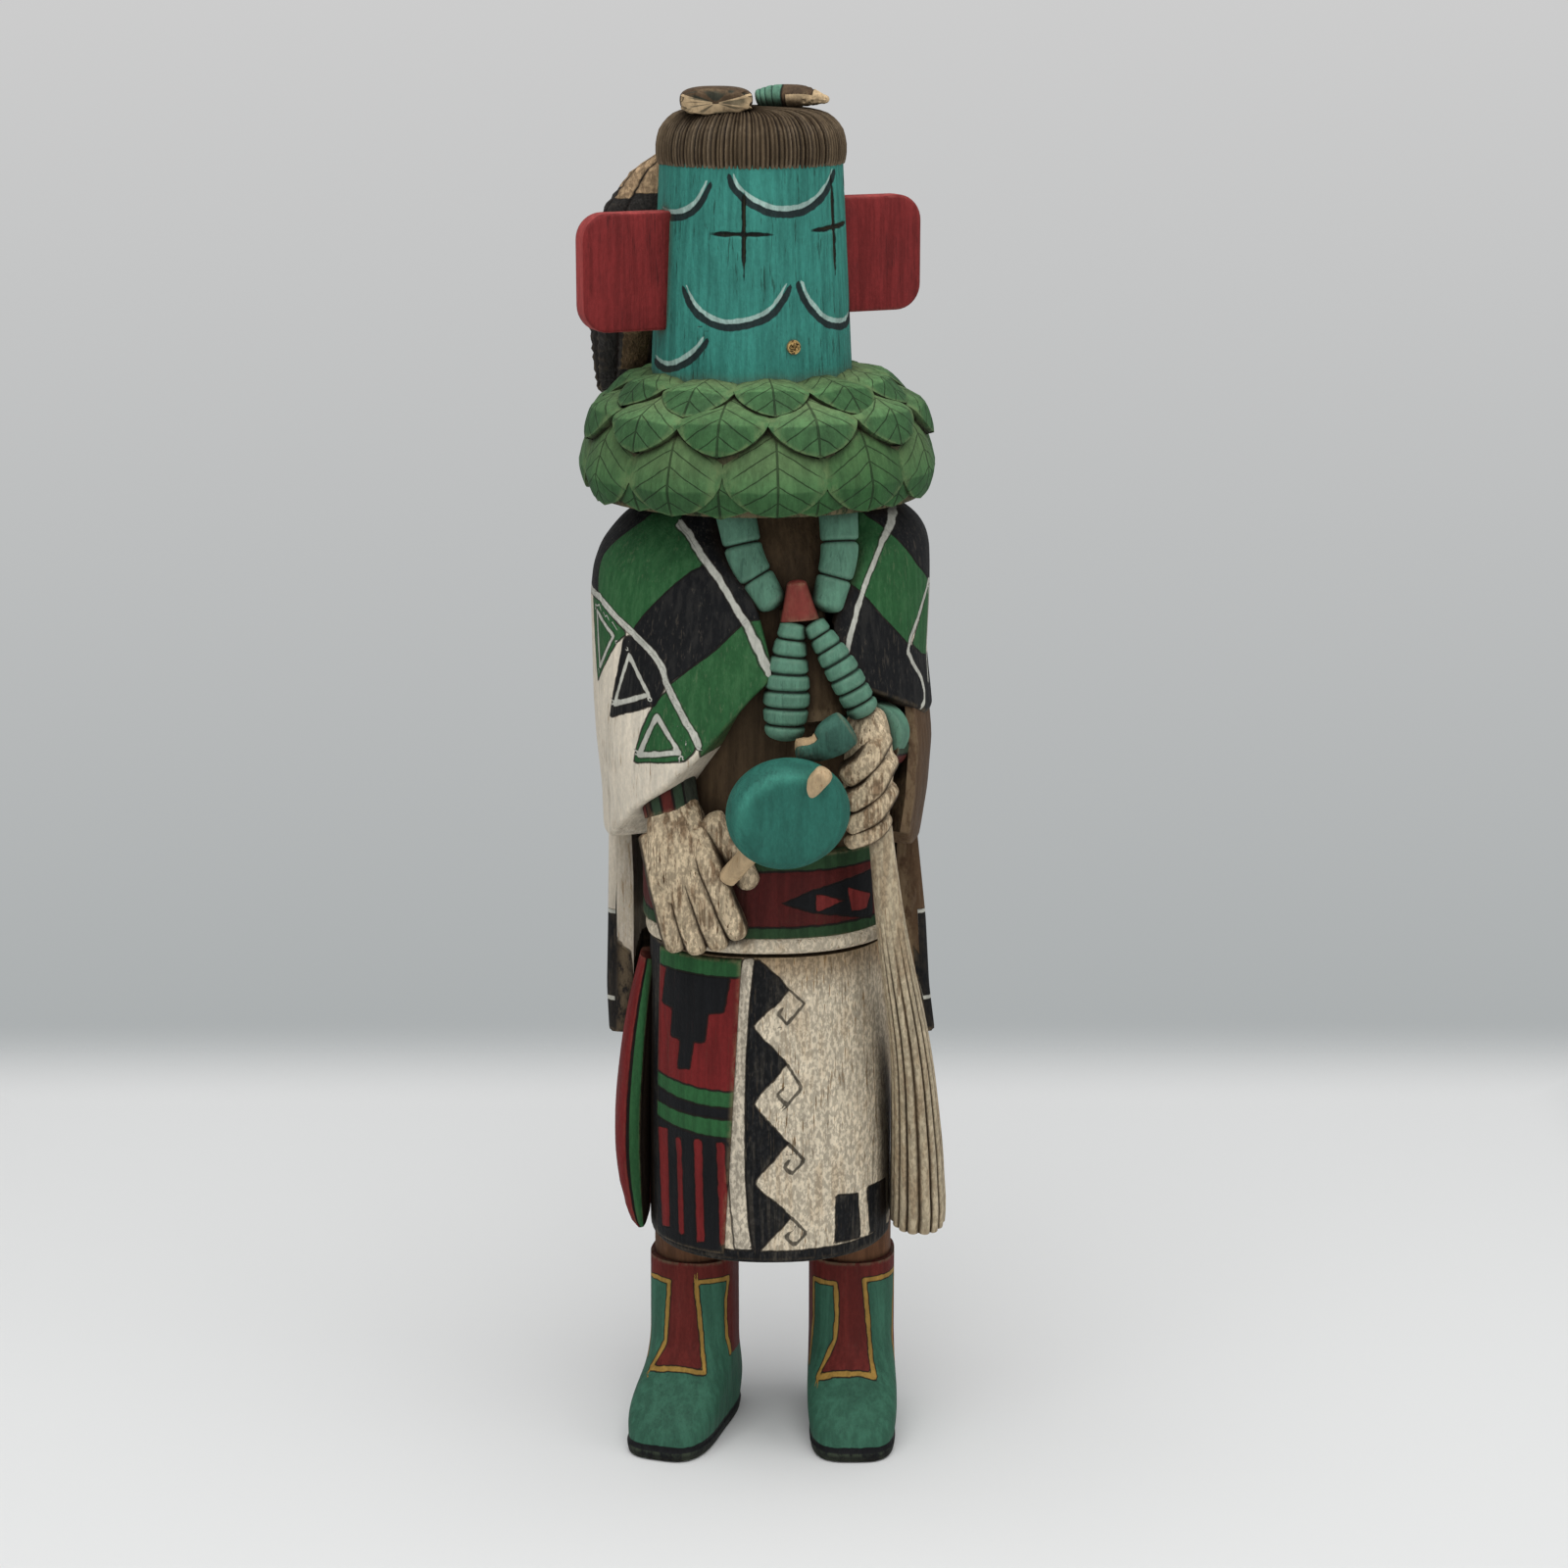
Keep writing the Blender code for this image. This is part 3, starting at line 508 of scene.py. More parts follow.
class Graph:
    """Writes the nodes of one material or node group."""

    def __init__(self, tree: bpy.types.NodeTree) -> None:
        """Keeps the tree that it writes."""
        self.tree = tree

    def node(self, kind: str, inputs: dict | None = None, **settings: object) -> Node:
        """Adds a node.

        Args:
            kind: the node's type.
            inputs: values or sockets for its inputs, by name or number.
            settings: its own settings.

        Returns:
            The node.
        """
        made = self.tree.nodes.new(kind)
        for key, value in settings.items():
            setattr(made, key, value)
        for key, value in (inputs or {}).items():
            if isinstance(value, Socket):
                self.tree.links.new(value, made.inputs[key])
            else:
                made.inputs[key].default_value = value
        return made

    def math(self, operation: str, *values: object) -> Socket:
        """Adds one sum and returns its result."""
        return self.node("ShaderNodeMath", dict(enumerate(values)), operation=operation).outputs[0]

    def times(self, first: object, second: object) -> Socket:
        """Multiplies two values."""
        return self.math("MULTIPLY", first, second)

    def plus(self, first: object, second: object) -> Socket:
        """Adds two values."""
        return self.math("ADD", first, second)

    def minus(self, first: object, second: object) -> Socket:
        """Takes the second value from the first."""
        return self.math("SUBTRACT", first, second)

    def most(self, first: object, second: object) -> Socket:
        """Gives the larger of two values."""
        return self.math("MAXIMUM", first, second)

    def smooth(self, value: object, low: float, high: float, start: float = 0.0, end: float = 1.0) -> Socket:
        """Maps a value smoothly from one range to another."""
        inputs = {"Value": value, "From Min": low, "From Max": high, "To Min": start, "To Max": end}
        return self.node("ShaderNodeMapRange", inputs, interpolation_type="SMOOTHSTEP").outputs[0]

    def mix(self, share: object, first: object, second: object) -> Socket:
        """Mixes two colours and returns the result."""
        return self.node("ShaderNodeMix", {0: share, 6: first, 7: second}, data_type="RGBA").outputs[2]

    def read(self, name: str) -> Socket:
        """Reads one attribute of the surface."""
        return self.node("ShaderNodeAttribute", attribute_name=name).outputs["Fac"]

    def noise(self, scale: object, vector: object, detail: float = 4.0, rough: float = 0.55) -> Socket:
        """Adds a noise."""
        inputs = {"Vector": vector, "Scale": scale, "Detail": detail, "Roughness": rough}
        return self.node("ShaderNodeTexNoise", inputs).outputs["Fac"]

    def stretched(self, scale: Sequence[float]) -> Socket:
        """Reads the object's own coordinates, stretched."""
        here = self.node("ShaderNodeTexCoord").outputs["Object"]
        return self.node("ShaderNodeMapping", {"Vector": here, "Scale": scale}).outputs[0]


def effect(name: str, inputs: dict[str, float], outputs: Sequence[str]) -> tuple[Graph, dict, Node]:
    """Starts a shared effect.

    Args:
        name: the group's name.
        inputs: its inputs and their usual values.
        outputs: its outputs.

    Returns:
        Its graph, its input sockets and its output node.
    """
    tree = bpy.data.node_groups.new(name, "ShaderNodeTree")
    for key, value in inputs.items():
        tree.interface.new_socket(key, in_out="INPUT", socket_type="NodeSocketFloat").default_value = value
    for key in outputs:
        tree.interface.new_socket(key, in_out="OUTPUT", socket_type="NodeSocketFloat")
    graph = Graph(tree)
    entry = graph.node("NodeGroupInput")
    return graph, {key: entry.outputs[key] for key in inputs}, graph.node("NodeGroupOutput")


class Effects:
    """The effects that the paints share: wood grain, brush marks and worn edges."""

    def __init__(self) -> None:
        """Builds each effect once."""
        self.grain = self.make_grain()
        self.brush = self.make_brush()
        self.wear = self.make_wear()

    def make_grain(self) -> bpy.types.NodeTree:
        """Upright streaks of the carved root: pale and dark lines, and their relief.

        Returns:
            The effect's nodes.
        """
        graph, entry, ending = effect("wood_grain", {"Fineness": 500.0}, ("Streaks", "Lines"))
        here = graph.stretched((1.0, 1.0, 0.07))
        broad = graph.noise(entry["Fineness"], here, 5.0, 0.6)
        twice = graph.times(entry["Fineness"], 2.6)
        fine = graph.noise(twice, here, 3.0, 0.7)
        lines = graph.smooth(fine, 0.52, 0.70)
        graph.tree.links.new(graph.smooth(broad, 0.32, 0.68), ending.inputs["Streaks"])
        graph.tree.links.new(lines, ending.inputs["Lines"])
        return graph.tree

    def make_brush(self) -> bpy.types.NodeTree:
        """The unevenness of hand-laid paint: broad clouds and fine specks.

        Returns:
            The effect's nodes.
        """
        graph, entry, ending = effect("brush_marks", {"Size": 90.0, "Specks": 1100.0}, ("Clouds", "Specks"))
        here = graph.stretched((1.0, 1.0, 0.55))
        clouds = graph.noise(entry["Size"], here, 4.0, 0.6)
        specks = graph.noise(entry["Specks"], here, 2.0, 0.6)
        graph.tree.links.new(graph.smooth(clouds, 0.34, 0.66), ending.inputs["Clouds"])
        graph.tree.links.new(graph.smooth(specks, 0.36, 0.66), ending.inputs["Specks"])
        return graph.tree

    def make_wear(self) -> bpy.types.NodeTree:
        """Paint rubbed thin on raised edges.

        Returns:
            The effect's nodes.
        """
        graph, entry, ending = effect("edge_wear", {"Reach": 0.06}, ("Mask",))
        raised = graph.node("ShaderNodeNewGeometry").outputs["Pointiness"]
        over = graph.minus(raised, 0.5)
        share = graph.math("DIVIDE", over, entry["Reach"])
        patchy = graph.noise(420.0, graph.stretched((1.0, 1.0, 0.6)), 4.0, 0.7)
        rubbed = graph.times(graph.smooth(share, 0.25, 1), graph.smooth(patchy, 0.35, 0.6))
        graph.tree.links.new(rubbed, ending.inputs["Mask"])
        return graph.tree


GLOSS = 0.12  # how strongly old matt paint shines
BURN = 0.85  # how strongly a burnt line darkens the paint
CHAR = srgb(24, 20, 18)


class Mark(Enum):
    """The ways that a painted layer is bounded."""

    AREA = "area"
    LINE = "line"
    SHADE = "shade"


@dataclass(frozen=True)
class Layer:
    """One coat over the base: its colour, the attribute that bounds it and how."""

    colour: Colour
    field: str
    mark: Mark = Mark.AREA
    widen: float = 0.0  # millimetres added to a line's half width, or taken off an area's edge
    shift: float = 0.0  # how far a line is moved to one side
    outline: float = 0.0  # half width of the burnt line round an area
    strength: float = 1.0

    def share(self, graph: Graph, wobble: Socket) -> Socket:
        """Gives the coat's cover.

        Args:
            graph: the material's graph.
            wobble: the hand's small unevenness, in millimetres.

        Returns:
            The cover from 0 to 1.
        """
        if self.mark is Mark.SHADE:
            cover = graph.smooth(graph.read(self.field), 0, 1)
        elif self.mark is Mark.LINE:
            moved = graph.minus(graph.read(f"line_{self.field}"), self.shift)
            inside = graph.minus(graph.read(f"half_{self.field}"), graph.math("ABSOLUTE", moved))
            uneven = graph.plus(graph.plus(inside, self.widen), wobble)
            cover = graph.smooth(uneven, -HAND, HAND)
        else:
            uneven = graph.plus(graph.minus(graph.read(f"area_{self.field}"), self.widen), wobble)
            cover = graph.smooth(uneven, -HAND, HAND)
        return graph.times(cover, self.strength)

    def burnt(self, graph: Graph, wobble: Socket) -> Socket:
        """Gives the cover of the thin burnt line round an area."""
        away = graph.math("ABSOLUTE", graph.plus(graph.read(f"area_{self.field}"), wobble))
        return graph.smooth(away, self.outline + 0.12, self.outline - 0.06)


@dataclass(frozen=True)
class Paint:
    """A hand-laid finish: a base coat, what shows through it, painted layers, wear, and dark staining with
    painted shade in the hollows.
    """

    name: str
    base: Colour
    layers: Sequence[Layer] = ()
    under: Colour = srgb(70, 52, 38)  # shows where the paint is thin
    thin: float = 0.1  # how much of it shows
    grain: float = 0.16  # how much the grain's streaks change the tone
    fineness: float = 430.0
    worn: Colour = srgb(150, 130, 100)
    wear: float = 0.35
    grime_and_shade: float = 0.75  # how much dark dirt and painted shade sit in the hollows and where forms touch
    # the colour of that dirt and painted shade
    dirt_and_shade: Colour = srgb(38, 28, 20)
    hollow: float = 0.005  # how wide a hollow gathers dirt and painted shade, in metres
    roughness: float = 0.68
    relief: float = 0.0003
    specks: float = 0.06
    patches: float = 0.0  # how strongly the under colour comes through in patches

    def material(self, effects: Effects) -> Finish:
        """Builds the finish.

        Args:
            effects: the shared effects.

        Returns:
            The material.
        """
        made = bpy.data.materials.new(self.name)
        made.use_nodes = True
        graph = Graph(made.node_tree)
        grain = graph.node("ShaderNodeGroup", node_tree=effects.grain)
        grain.inputs["Fineness"].default_value = self.fineness
        brush = graph.node("ShaderNodeGroup", node_tree=effects.brush)
        wear = graph.node("ShaderNodeGroup", node_tree=effects.wear)
        colour, carved = self.coats(graph, grain, brush)
        streaks = graph.smooth(grain.outputs["Streaks"], 0, 1, 1.0 - self.grain, 1.0 + self.grain)
        specks = graph.smooth(brush.outputs["Specks"], 0, 1, 1.0 - self.specks, 1.0 + self.specks)
        tone = graph.times(streaks, specks)
        clouds = graph.smooth(brush.outputs["Clouds"], 0, 1, 0.92, 1.06)
        tone = graph.times(tone, clouds)
        colour = graph.node("ShaderNodeHueSaturation", {"Color": colour, "Value": tone}).outputs[0]
        rubbed = graph.times(wear.outputs["Mask"], self.wear)
        colour = graph.mix(rubbed, colour, self.worn)
        # painted shade and dirt: ambient occlusion darkens hollows, places where forms touch, and where they
        # meet the floor
        shade = graph.node("ShaderNodeAmbientOcclusion", {"Distance": self.hollow}, samples=8).outputs["AO"]
        dirt_and_shade_share = graph.times(graph.smooth(shade, 0.9, 0.3), self.grime_and_shade)
        colour = graph.mix(dirt_and_shade_share, colour, self.dirt_and_shade)
        shader = made.node_tree.nodes["Principled BSDF"]
        made.node_tree.links.new(colour, shader.inputs["Base Color"])
        rough = graph.smooth(brush.outputs["Clouds"], 0, 1, self.roughness - 0.07, self.roughness + 0.07)
        made.node_tree.links.new(rough, shader.inputs["Roughness"])
        shader.inputs["Specular IOR Level"].default_value = GLOSS
        height = graph.times(grain.outputs["Streaks"], 0.6)
        height = graph.plus(height, graph.times(brush.outputs["Specks"], 0.35))
        if carved is not None:
            height = graph.minus(height, graph.times(carved, 1.5))
        bump = graph.node("ShaderNodeBump", {"Height": height, "Strength": 0.6, "Distance": self.relief})
        made.node_tree.links.new(bump.outputs[0], shader.inputs["Normal"])
        return made

    def coats(self, graph: Graph, grain: Node, brush: Node) -> tuple:
        """Lays the base coat and the layers.

        Args:
            graph: the material's graph.
            grain: the grain's node.
            brush: the brush marks' node.

        Returns:
            The colour, and how deep the burnt lines are cut or None.
        """
        calm = graph.smooth(brush.outputs["Clouds"], 0, 1, 1, 0.25)
        patchy = graph.times(grain.outputs["Lines"], calm)
        patchy = graph.plus(patchy, graph.times(brush.outputs["Specks"], 0.35))
        bare = graph.times(graph.smooth(patchy, 0.25, 1), self.thin)
        if self.patches:
            rubbed = graph.smooth(grain.outputs["Streaks"], 0.2, 0.9)
            rubbed = graph.times(rubbed, graph.smooth(brush.outputs["Clouds"], 0.25, 0.75))
            bare = graph.most(bare, graph.times(rubbed, self.patches))
        colour = graph.mix(bare, self.base, self.under)
        if not self.layers:
            return colour, None
        here = graph.stretched((1.0, 1.0, 1.0))
        wobble = graph.smooth(graph.noise(330.0, here, 2.0), 0.25, 0.75, -HAND, HAND)
        carved = None
        for layer in self.layers:
            cover = graph.minus(layer.share(graph, wobble), graph.times(bare, 0.12))
            colour = graph.mix(graph.most(cover, 0.0), colour, layer.colour)
            if layer.outline:
                line = layer.burnt(graph, wobble)
                colour = graph.mix(graph.times(line, BURN), colour, CHAR)
                carved = line if carved is None else graph.most(carved, line)
        return colour, carved


@dataclass(frozen=True)
class LeafPaint(Paint):
    """The ruff's green, with burnt veins that slant down from each leaf's middle, and painted shade on the
    lower facets, the undersides and the lowest rows.
    """

    vein_gap: float = 4.3

    def coats(self, graph: Graph, grain: Node, brush: Node) -> tuple:
        """Lays the green, its veins and its painted shade.

        Args:
            graph: the material's graph.
            grain: the grain's node.
            brush: the brush marks' node.

        Returns:
            The colour, and how deep the veins are cut.
        """
        colour, _ = super().coats(graph, grain, brush)
        here = graph.stretched((1.0, 1.0, 1.0))
        wobble = graph.smooth(graph.noise(160.0, here, 2.0), 0.25, 0.75, -0.22, 0.22)
        side = graph.math("ABSOLUTE", graph.read("leaf_side"))
        down = graph.read("leaf_down")
        slant = graph.plus(graph.minus(down, graph.times(side, 0.62)), wobble)
        rung = graph.math("PINGPONG", slant, self.vein_gap / 2.0)
        veins = graph.smooth(rung, 0.26, 0.08)
        inner = graph.smooth(side, 13, 9)
        veins = graph.times(veins, inner)
        middle = graph.smooth(graph.plus(side, graph.times(wobble, 0.3)), 0.42, 0.2)
        cut = graph.most(veins, middle)
        # a paler, greyer green over the upper part of each leaf, near its base
        paler_top = graph.times(graph.smooth(down, 15, 7), 0.5)
        colour = graph.mix(paler_top, colour, srgb(112, 122, 86))
        # painted shade: a darker green on each leaf's lower facet, which faces down
        facet = graph.plus(down, graph.times(wobble, 1.5))
        colour = graph.mix(graph.times(graph.smooth(facet, 14.2, 14.9), 0.62), colour, srgb(34, 66, 40))
        # each leaf's random tone, with painted shade on the two lowest rows
        colour = graph.mix(graph.times(graph.read("leaf_tone"), 0.4), colour, srgb(46, 84, 46))
        colour = graph.mix(graph.times(cut, 0.7), colour, srgb(24, 32, 18))
        # painted shade: the leaf's underside and cut edges go nearly black
        return graph.mix(graph.smooth(graph.read("leaf_edge"), 0.02, 0.5), colour, srgb(26, 28, 16)), cut


TURQUOISE = srgb(53, 121, 110)
LEAF_GREEN = srgb(84, 120, 78)
CLOTH_GREEN = srgb(42, 86, 50)
BLACK = srgb(21, 22, 24)
WHITE = srgb(178, 178, 168)
CREAM = srgb(202, 190, 168)
SKIN = srgb(76, 61, 44)
HAIR_BROWN = srgb(90, 76, 58)
RED = srgb(106, 31, 31)
BOOT_RED = srgb(92, 35, 31)
EAR_RED = srgb(112, 38, 38)
STONE = srgb(86, 126, 106)
OCHRE = srgb(150, 118, 58)
BOOT_GREEN = srgb(54, 95, 77)
WOOD = srgb(184, 160, 126)
UMBER = srgb(80, 60, 42)

CAPE_MARKS_RIGHT = Pattern(
    0.785,
    {
        "black": (
            ((-59.2, 276), (-59.2, 267), (-67.6, 261.6), (-73.5, 256.7), (-72.8, 253.4), (-70.3, 247.1),
             (-80.4, 246.6), (-112, 247), (-112, 276)),
            ((-45.1, 239.1), (-43.6, 240.6), (-40.2, 243.3), (-33.1, 248.4), (-26.7, 252.9), (-21.9, 256.1),
             (-17.6, 257.7), (-22.6, 261.7), (-28.8, 265.1), (-37.6, 267.9), (-40, 276), (12, 276), (12, 244.5),
             (-3, 244.1), (-5.2, 242.3), (-12.2, 236.4), (-22.2, 230.5), (-29, 226.6), (-31.3, 230.8),
             (-35, 234.1), (-40.2, 237)),
            ((-50.1, 236.9), (-47.8, 238.1), (-43.7, 238), (-38, 235.4), (-32.9, 231.2), (-30.7, 225.5),
             (-35.1, 220.8), (-61, 214.8), (-56.4, 223.8), (-52.6, 230.7)),
        ),
        "green": (
            ((-59.2, 267), (-67.6, 261.6), (-73.5, 256.7), (-72.8, 253.4), (-70.3, 247.1), (-67.8, 246.3),
             (-56.8, 243.2), (-49.4, 240.6), (-45.1, 239.1), (-43.6, 240.6), (-40.2, 243.3), (-33.1, 248.4),
             (-26.7, 252.9), (-21.9, 256.1), (-17.6, 257.7), (-22.6, 261.7), (-28.8, 265.1), (-37.6, 267.9),
             (-40, 276), (-59.2, 276)),
            ((-29.9, 227), (-29, 226.6), (-22.2, 230.5), (-12.2, 236.4), (-5.2, 242.3), (-3, 244.1),
             (12, 244.5), (12, 200), (-19, 203), (-19, 211), (-20.4, 214.2), (-22.9, 217.1), (-25.6, 221),
             (-28.1, 224.4)),
            ((-77.5, 245.7), (-67.6, 245.5), (-50, 239.5), (-47.8, 238.1), (-51.3, 237), (-54.5, 235.4),
             (-59.5, 231.8), (-69.4, 224.7), (-72.4, 222.4), (-75.4, 234.5)),
            ((-35.1, 221.6), (-30, 225), (-25.3, 219.7), (-22, 215.4), (-19.3, 211.3), (-23.8, 207.2),
             (-47.1, 204.7), (-43.1, 212.4), (-39.8, 216.5)),
        ),
    },
    {
        "white": (
            Stroke(((-37.6, 267.9), (-28.8, 265.1), (-22.6, 261.7), (-17, 258.2), (-12.4, 254.6), (-9, 251),
                    (-6.4, 247.3), (-3.5, 243.6), (-1.5, 239.8), (0, 236.1), (1.4, 232.8), (2.4, 230.3)), 0.8),
            Stroke(((-112, 247), (-80.4, 246.8), (-67.8, 246.3), (-56.8, 243.2), (-49.4, 240.6), (-45.1, 239.1),
                    (-40.2, 237), (-35, 234.1), (-31.3, 230.8), (-29.9, 227), (-28.1, 224.4), (-25.6, 221),
                    (-22.9, 217.1), (-20.4, 214.2), (-19, 211)), 0.95),
            Stroke(((-71.4, 242.5), (-56.4, 237.1), (-69.2, 227.1)), 0.55, closed=True),
            Stroke(((-46.8, 233.1), (-37.6, 223.4), (-56.8, 219)), 0.6, closed=True),
            Stroke(((-34.4, 218.3), (-26.2, 209.3), (-43.7, 207.2)), 0.65, closed=True),
        ),
    },
)
CAPE_MARKS_LEFT = Pattern(
    0.785,
    {
        "black": (
            ((43.9, 276), (43.9, 268.8), (47.9, 265.2), (53.8, 261.4), (63.9, 255.5), (79.8, 249.4), (112, 247),
             (112, 276)),
            ((10, 262), (30.4, 251.5), (35.5, 248.2), (42.5, 243.2), (50.7, 238.6), (59.7, 233.8),
             (61.2, 234.2), (72.2, 230.2), (81.2, 228.8), (94, 229), (96, 205), (10, 205)),
        ),
        "green": (
            ((43.9, 268.8), (47.9, 265.2), (53.8, 261.4), (63.9, 255.5), (79.8, 249.4), (71.5, 245.1),
             (65.7, 240.5), (60.2, 236.4), (59.7, 233.8), (50.7, 238.6), (42.5, 243.2), (35.5, 248.2),
             (30.4, 251.5), (10, 262), (10, 276), (43.9, 276)),
            ((77.6, 248), (69.6, 241.9), (61.2, 234.2), (72.2, 230.2), (81.2, 228.8), (84, 238), (84, 248)),
        ),
    },
    {
        "white": (
            Stroke(((74.9, 270.8), (59.8, 268.5), (48.6, 265.4), (42.6, 262.8), (38.5, 258.6), (35.6, 254.3),
                    (33.3, 250.4), (31.4, 246.5), (29.6, 241.5), (28.2, 237.8), (27.2, 234), (27, 231.5)), 0.8),
            Stroke(((112, 247), (90, 248.4), (79.8, 249.4), (71.5, 245.1), (65.7, 240.5), (60.2, 236.4),
                    (58.3, 232.7), (63.1, 228.7), (69.5, 224.2), (71.4, 220.4), (70.3, 217.9), (66.5, 216.6)),
                   0.75),
            Stroke(((81.5, 248), (82.4, 238), (81.5, 229), (79, 222)), 0.6),
        ),
    },
)
CAPE_MARKS_BACK = Pattern(
    0.75,
    {
        "black": (((90, 276), (90, 247), (270, 247), (270, 276)),
                  ((90, 152), (270, 152), (270, 100), (90, 100))),
    },
    {
        "white": (
            Stroke(((80, 247), (280, 247)), 0.9),
            Stroke(((80, 152), (280, 152)), 0.6),
            Stroke(((80, 124.5), (98, 126.5), (180, 124.5), (262, 126.5), (280, 124.5)), 0.55),
        ),
    },
)
KILT_MARKS = Pattern(
    0.593,
    {
        "white": (((-10.2, 150), (-15.9, 129.5), (-18, 115.4), (-18.1, 92.8), (-16.8, 78.4), (-14.9, 65.4),
                   (-6.8, 65.5), (-8.4, 73), (-9.7, 87.4), (-9.6, 107.3), (-8.9, 121.4), (-7, 138.1),
                   (-4.8, 150)),),
        "black": (
            ((-3.7, 150), (7.6, 140.9), (-5.5, 131), (-6, 130.4), (6, 120), (-6.3, 108.5), (-5.9, 108),
             (6, 97.2), (-6, 85.5), (-5.2, 84.6), (7.2, 75.3), (-3.7, 65.5), (-6.8, 65.5), (-8.4, 73),
             (-9.7, 87.4), (-9.6, 107.3), (-8.9, 121.4), (-7, 138.1), (-4.8, 150)),
            ((28.8, 80.4), (42.5, 79.6), (44.5, 66.2), (28.7, 66.4)),
            ((49, 80.4), (68.6, 79.5), (71.9, 63.1), (52.2, 66.1)),
            # black paint on the kilt's edge, and painted shade down the recess between the front panel and the
            # side sash and behind the sash
            ((-112, 153), (-48, 153), (-48, 60), (-112, 60)),
            ((-185, 64.8), (-60, 65.4), (0, 65.2), (60, 65.6), (100, 63.6), (185, 64.8), (185, 55), (-185, 55)),
        ),
    },
    {
        "fret": (
            Stroke(((7.6, 140.9), (14.1, 136.8), (6.2, 131.2), (2.8, 134.3), (4.7, 135.7)), 0.5),
            Stroke(((6, 120), (12.2, 112.9), (5.7, 108), (2, 111.1), (4.7, 113.1)), 0.5),
            Stroke(((6, 97.2), (13.2, 91.8), (7.2, 87.8), (4.4, 90.4), (6.8, 92.1)), 0.5),
            Stroke(((7.2, 75.3), (14, 70.4), (8.8, 66.6), (5.2, 69.3), (7.2, 71)), 0.5),
        ),
    },
)
PANEL_MARKS = Pattern(
    0.593,
    {
        "green": (
            ((-64, 152), (-64, 144.2), (-5, 144.6), (-5, 152)),
            ((-64, 113.2), (-34, 112.1), (-5, 111.8), (-5, 107.1), (-34, 107.3), (-64, 108.9)),
            ((-64, 104.6), (-34, 103.9), (-5, 103.9), (-5, 98.3), (-34, 98.7), (-64, 100)),
        ),
        "black": (
            ((-52.3, 144.4), (-56.7, 133.6), (-47.7, 133.2), (-49.3, 125.1), (-42.2, 124.9), (-44.2, 116.2),
             (-36.7, 117.1), (-34.2, 124.9), (-28.2, 125.5), (-26.1, 133.7), (-18.3, 134.5), (-15.4, 144.6)),
            ((-64, 108.9), (-34, 107.3), (-5, 107.1), (-5, 103.9), (-34, 103.9), (-64, 104.6)),
            ((-64, 100), (-34, 98.7), (-5, 98.3), (-5, 60), (-64, 60)),
        ),
        "red": (
            ((-61, 96.7), (-51.8, 98), (-50.9, 68.4), (-58, 67.5)),
            ((-45.8, 96), (-41.8, 96.6), (-40.4, 67.7), (-44.4, 67.1)),
            ((-34.6, 96.9), (-29.6, 97.4), (-28.5, 66.9), (-33.3, 66.3)),
            ((-22.6, 97.2), (-18.3, 97.5), (-16.5, 66.7), (-21.1, 66.4)),
        ),
    },
    {},
)
BELT_MARKS = Pattern(
    0.593,
    {
        "green": (((-190, 182), (-190, 174.6), (190, 174.6), (190, 182)),
                  ((-190, 159), (-190, 150), (190, 150), (190, 159))),
        "black": (((4.4, 165.8), (18.6, 169.2), (34.9, 171.1), (53.5, 172.2), (53.5, 158.2), (34.6, 161),
                   (18.5, 162.7)),
                  ((-160, 166), (-140, 172), (-140, 160)), ((160, 166), (140, 172), (140, 160))),
        "red": (((19.5, 168.1), (34.7, 165.4), (19.3, 162.6)),
                ((36, 168.8), (52.1, 165.6), (48.8, 161.2), (38.2, 161.8))),
    },
    {},
)
BOOT_LINE_RIGHT = (
    (-62.6, 21.6), (-73.6, 35.6), (-80.8, 44.8), (-40, 46.3), (-16.3, 46), (-19, 37.7), (-21.4, 28.1),
    (-38.9, 20.3), (-2.8, 21.6), (27.3, 20.8), (20.9, 26.9), (15.6, 37.8), (11.6, 46.6), (41.2, 46.6),
    (66.2, 46), (59.5, 40), (59.8, 34), (62.7, 28.3), (75.9, 22.8),
)
BOOT_LINE_LEFT = (
    (-74, 19.5), (-60.4, 33.6), (-60.9, 45.4), (-18, 45.8), (-16.1, 36.5), (-18.8, 29), (-44, 18.6),
    (-14.4, 20.4), (4.9, 20.6), (22, 19.4), (16.7, 34.3), (11.2, 47.1), (78.5, 46.8), (70.3, 34.7),
    (69, 26.1), (83.1, 19.3),
)
MASK_CROSSES = (  # thin lozenges: the two upright cuts and the two level ones
    ((-28.7, 357), (-27.4, 351), (-27.5, 338), (-28.3, 331.6), (-28.9, 331.6), (-30, 338), (-30, 351)),
    ((34.4, 360), (37.4, 352), (37.4, 340), (36, 331.8), (34.6, 331.8), (33.4, 340), (33, 352)),
    ((-51.2, 343.7), (-42, 344.3), (-20, 344.2), (-10.7, 343.9), (-10.7, 343.5), (-20, 343.2), (-42, 343.1)),
    ((10.6, 344.2), (24, 345), (48, 345.6), (60, 345.4), (60, 344.8), (48, 344.1), (24, 343.7)),
)
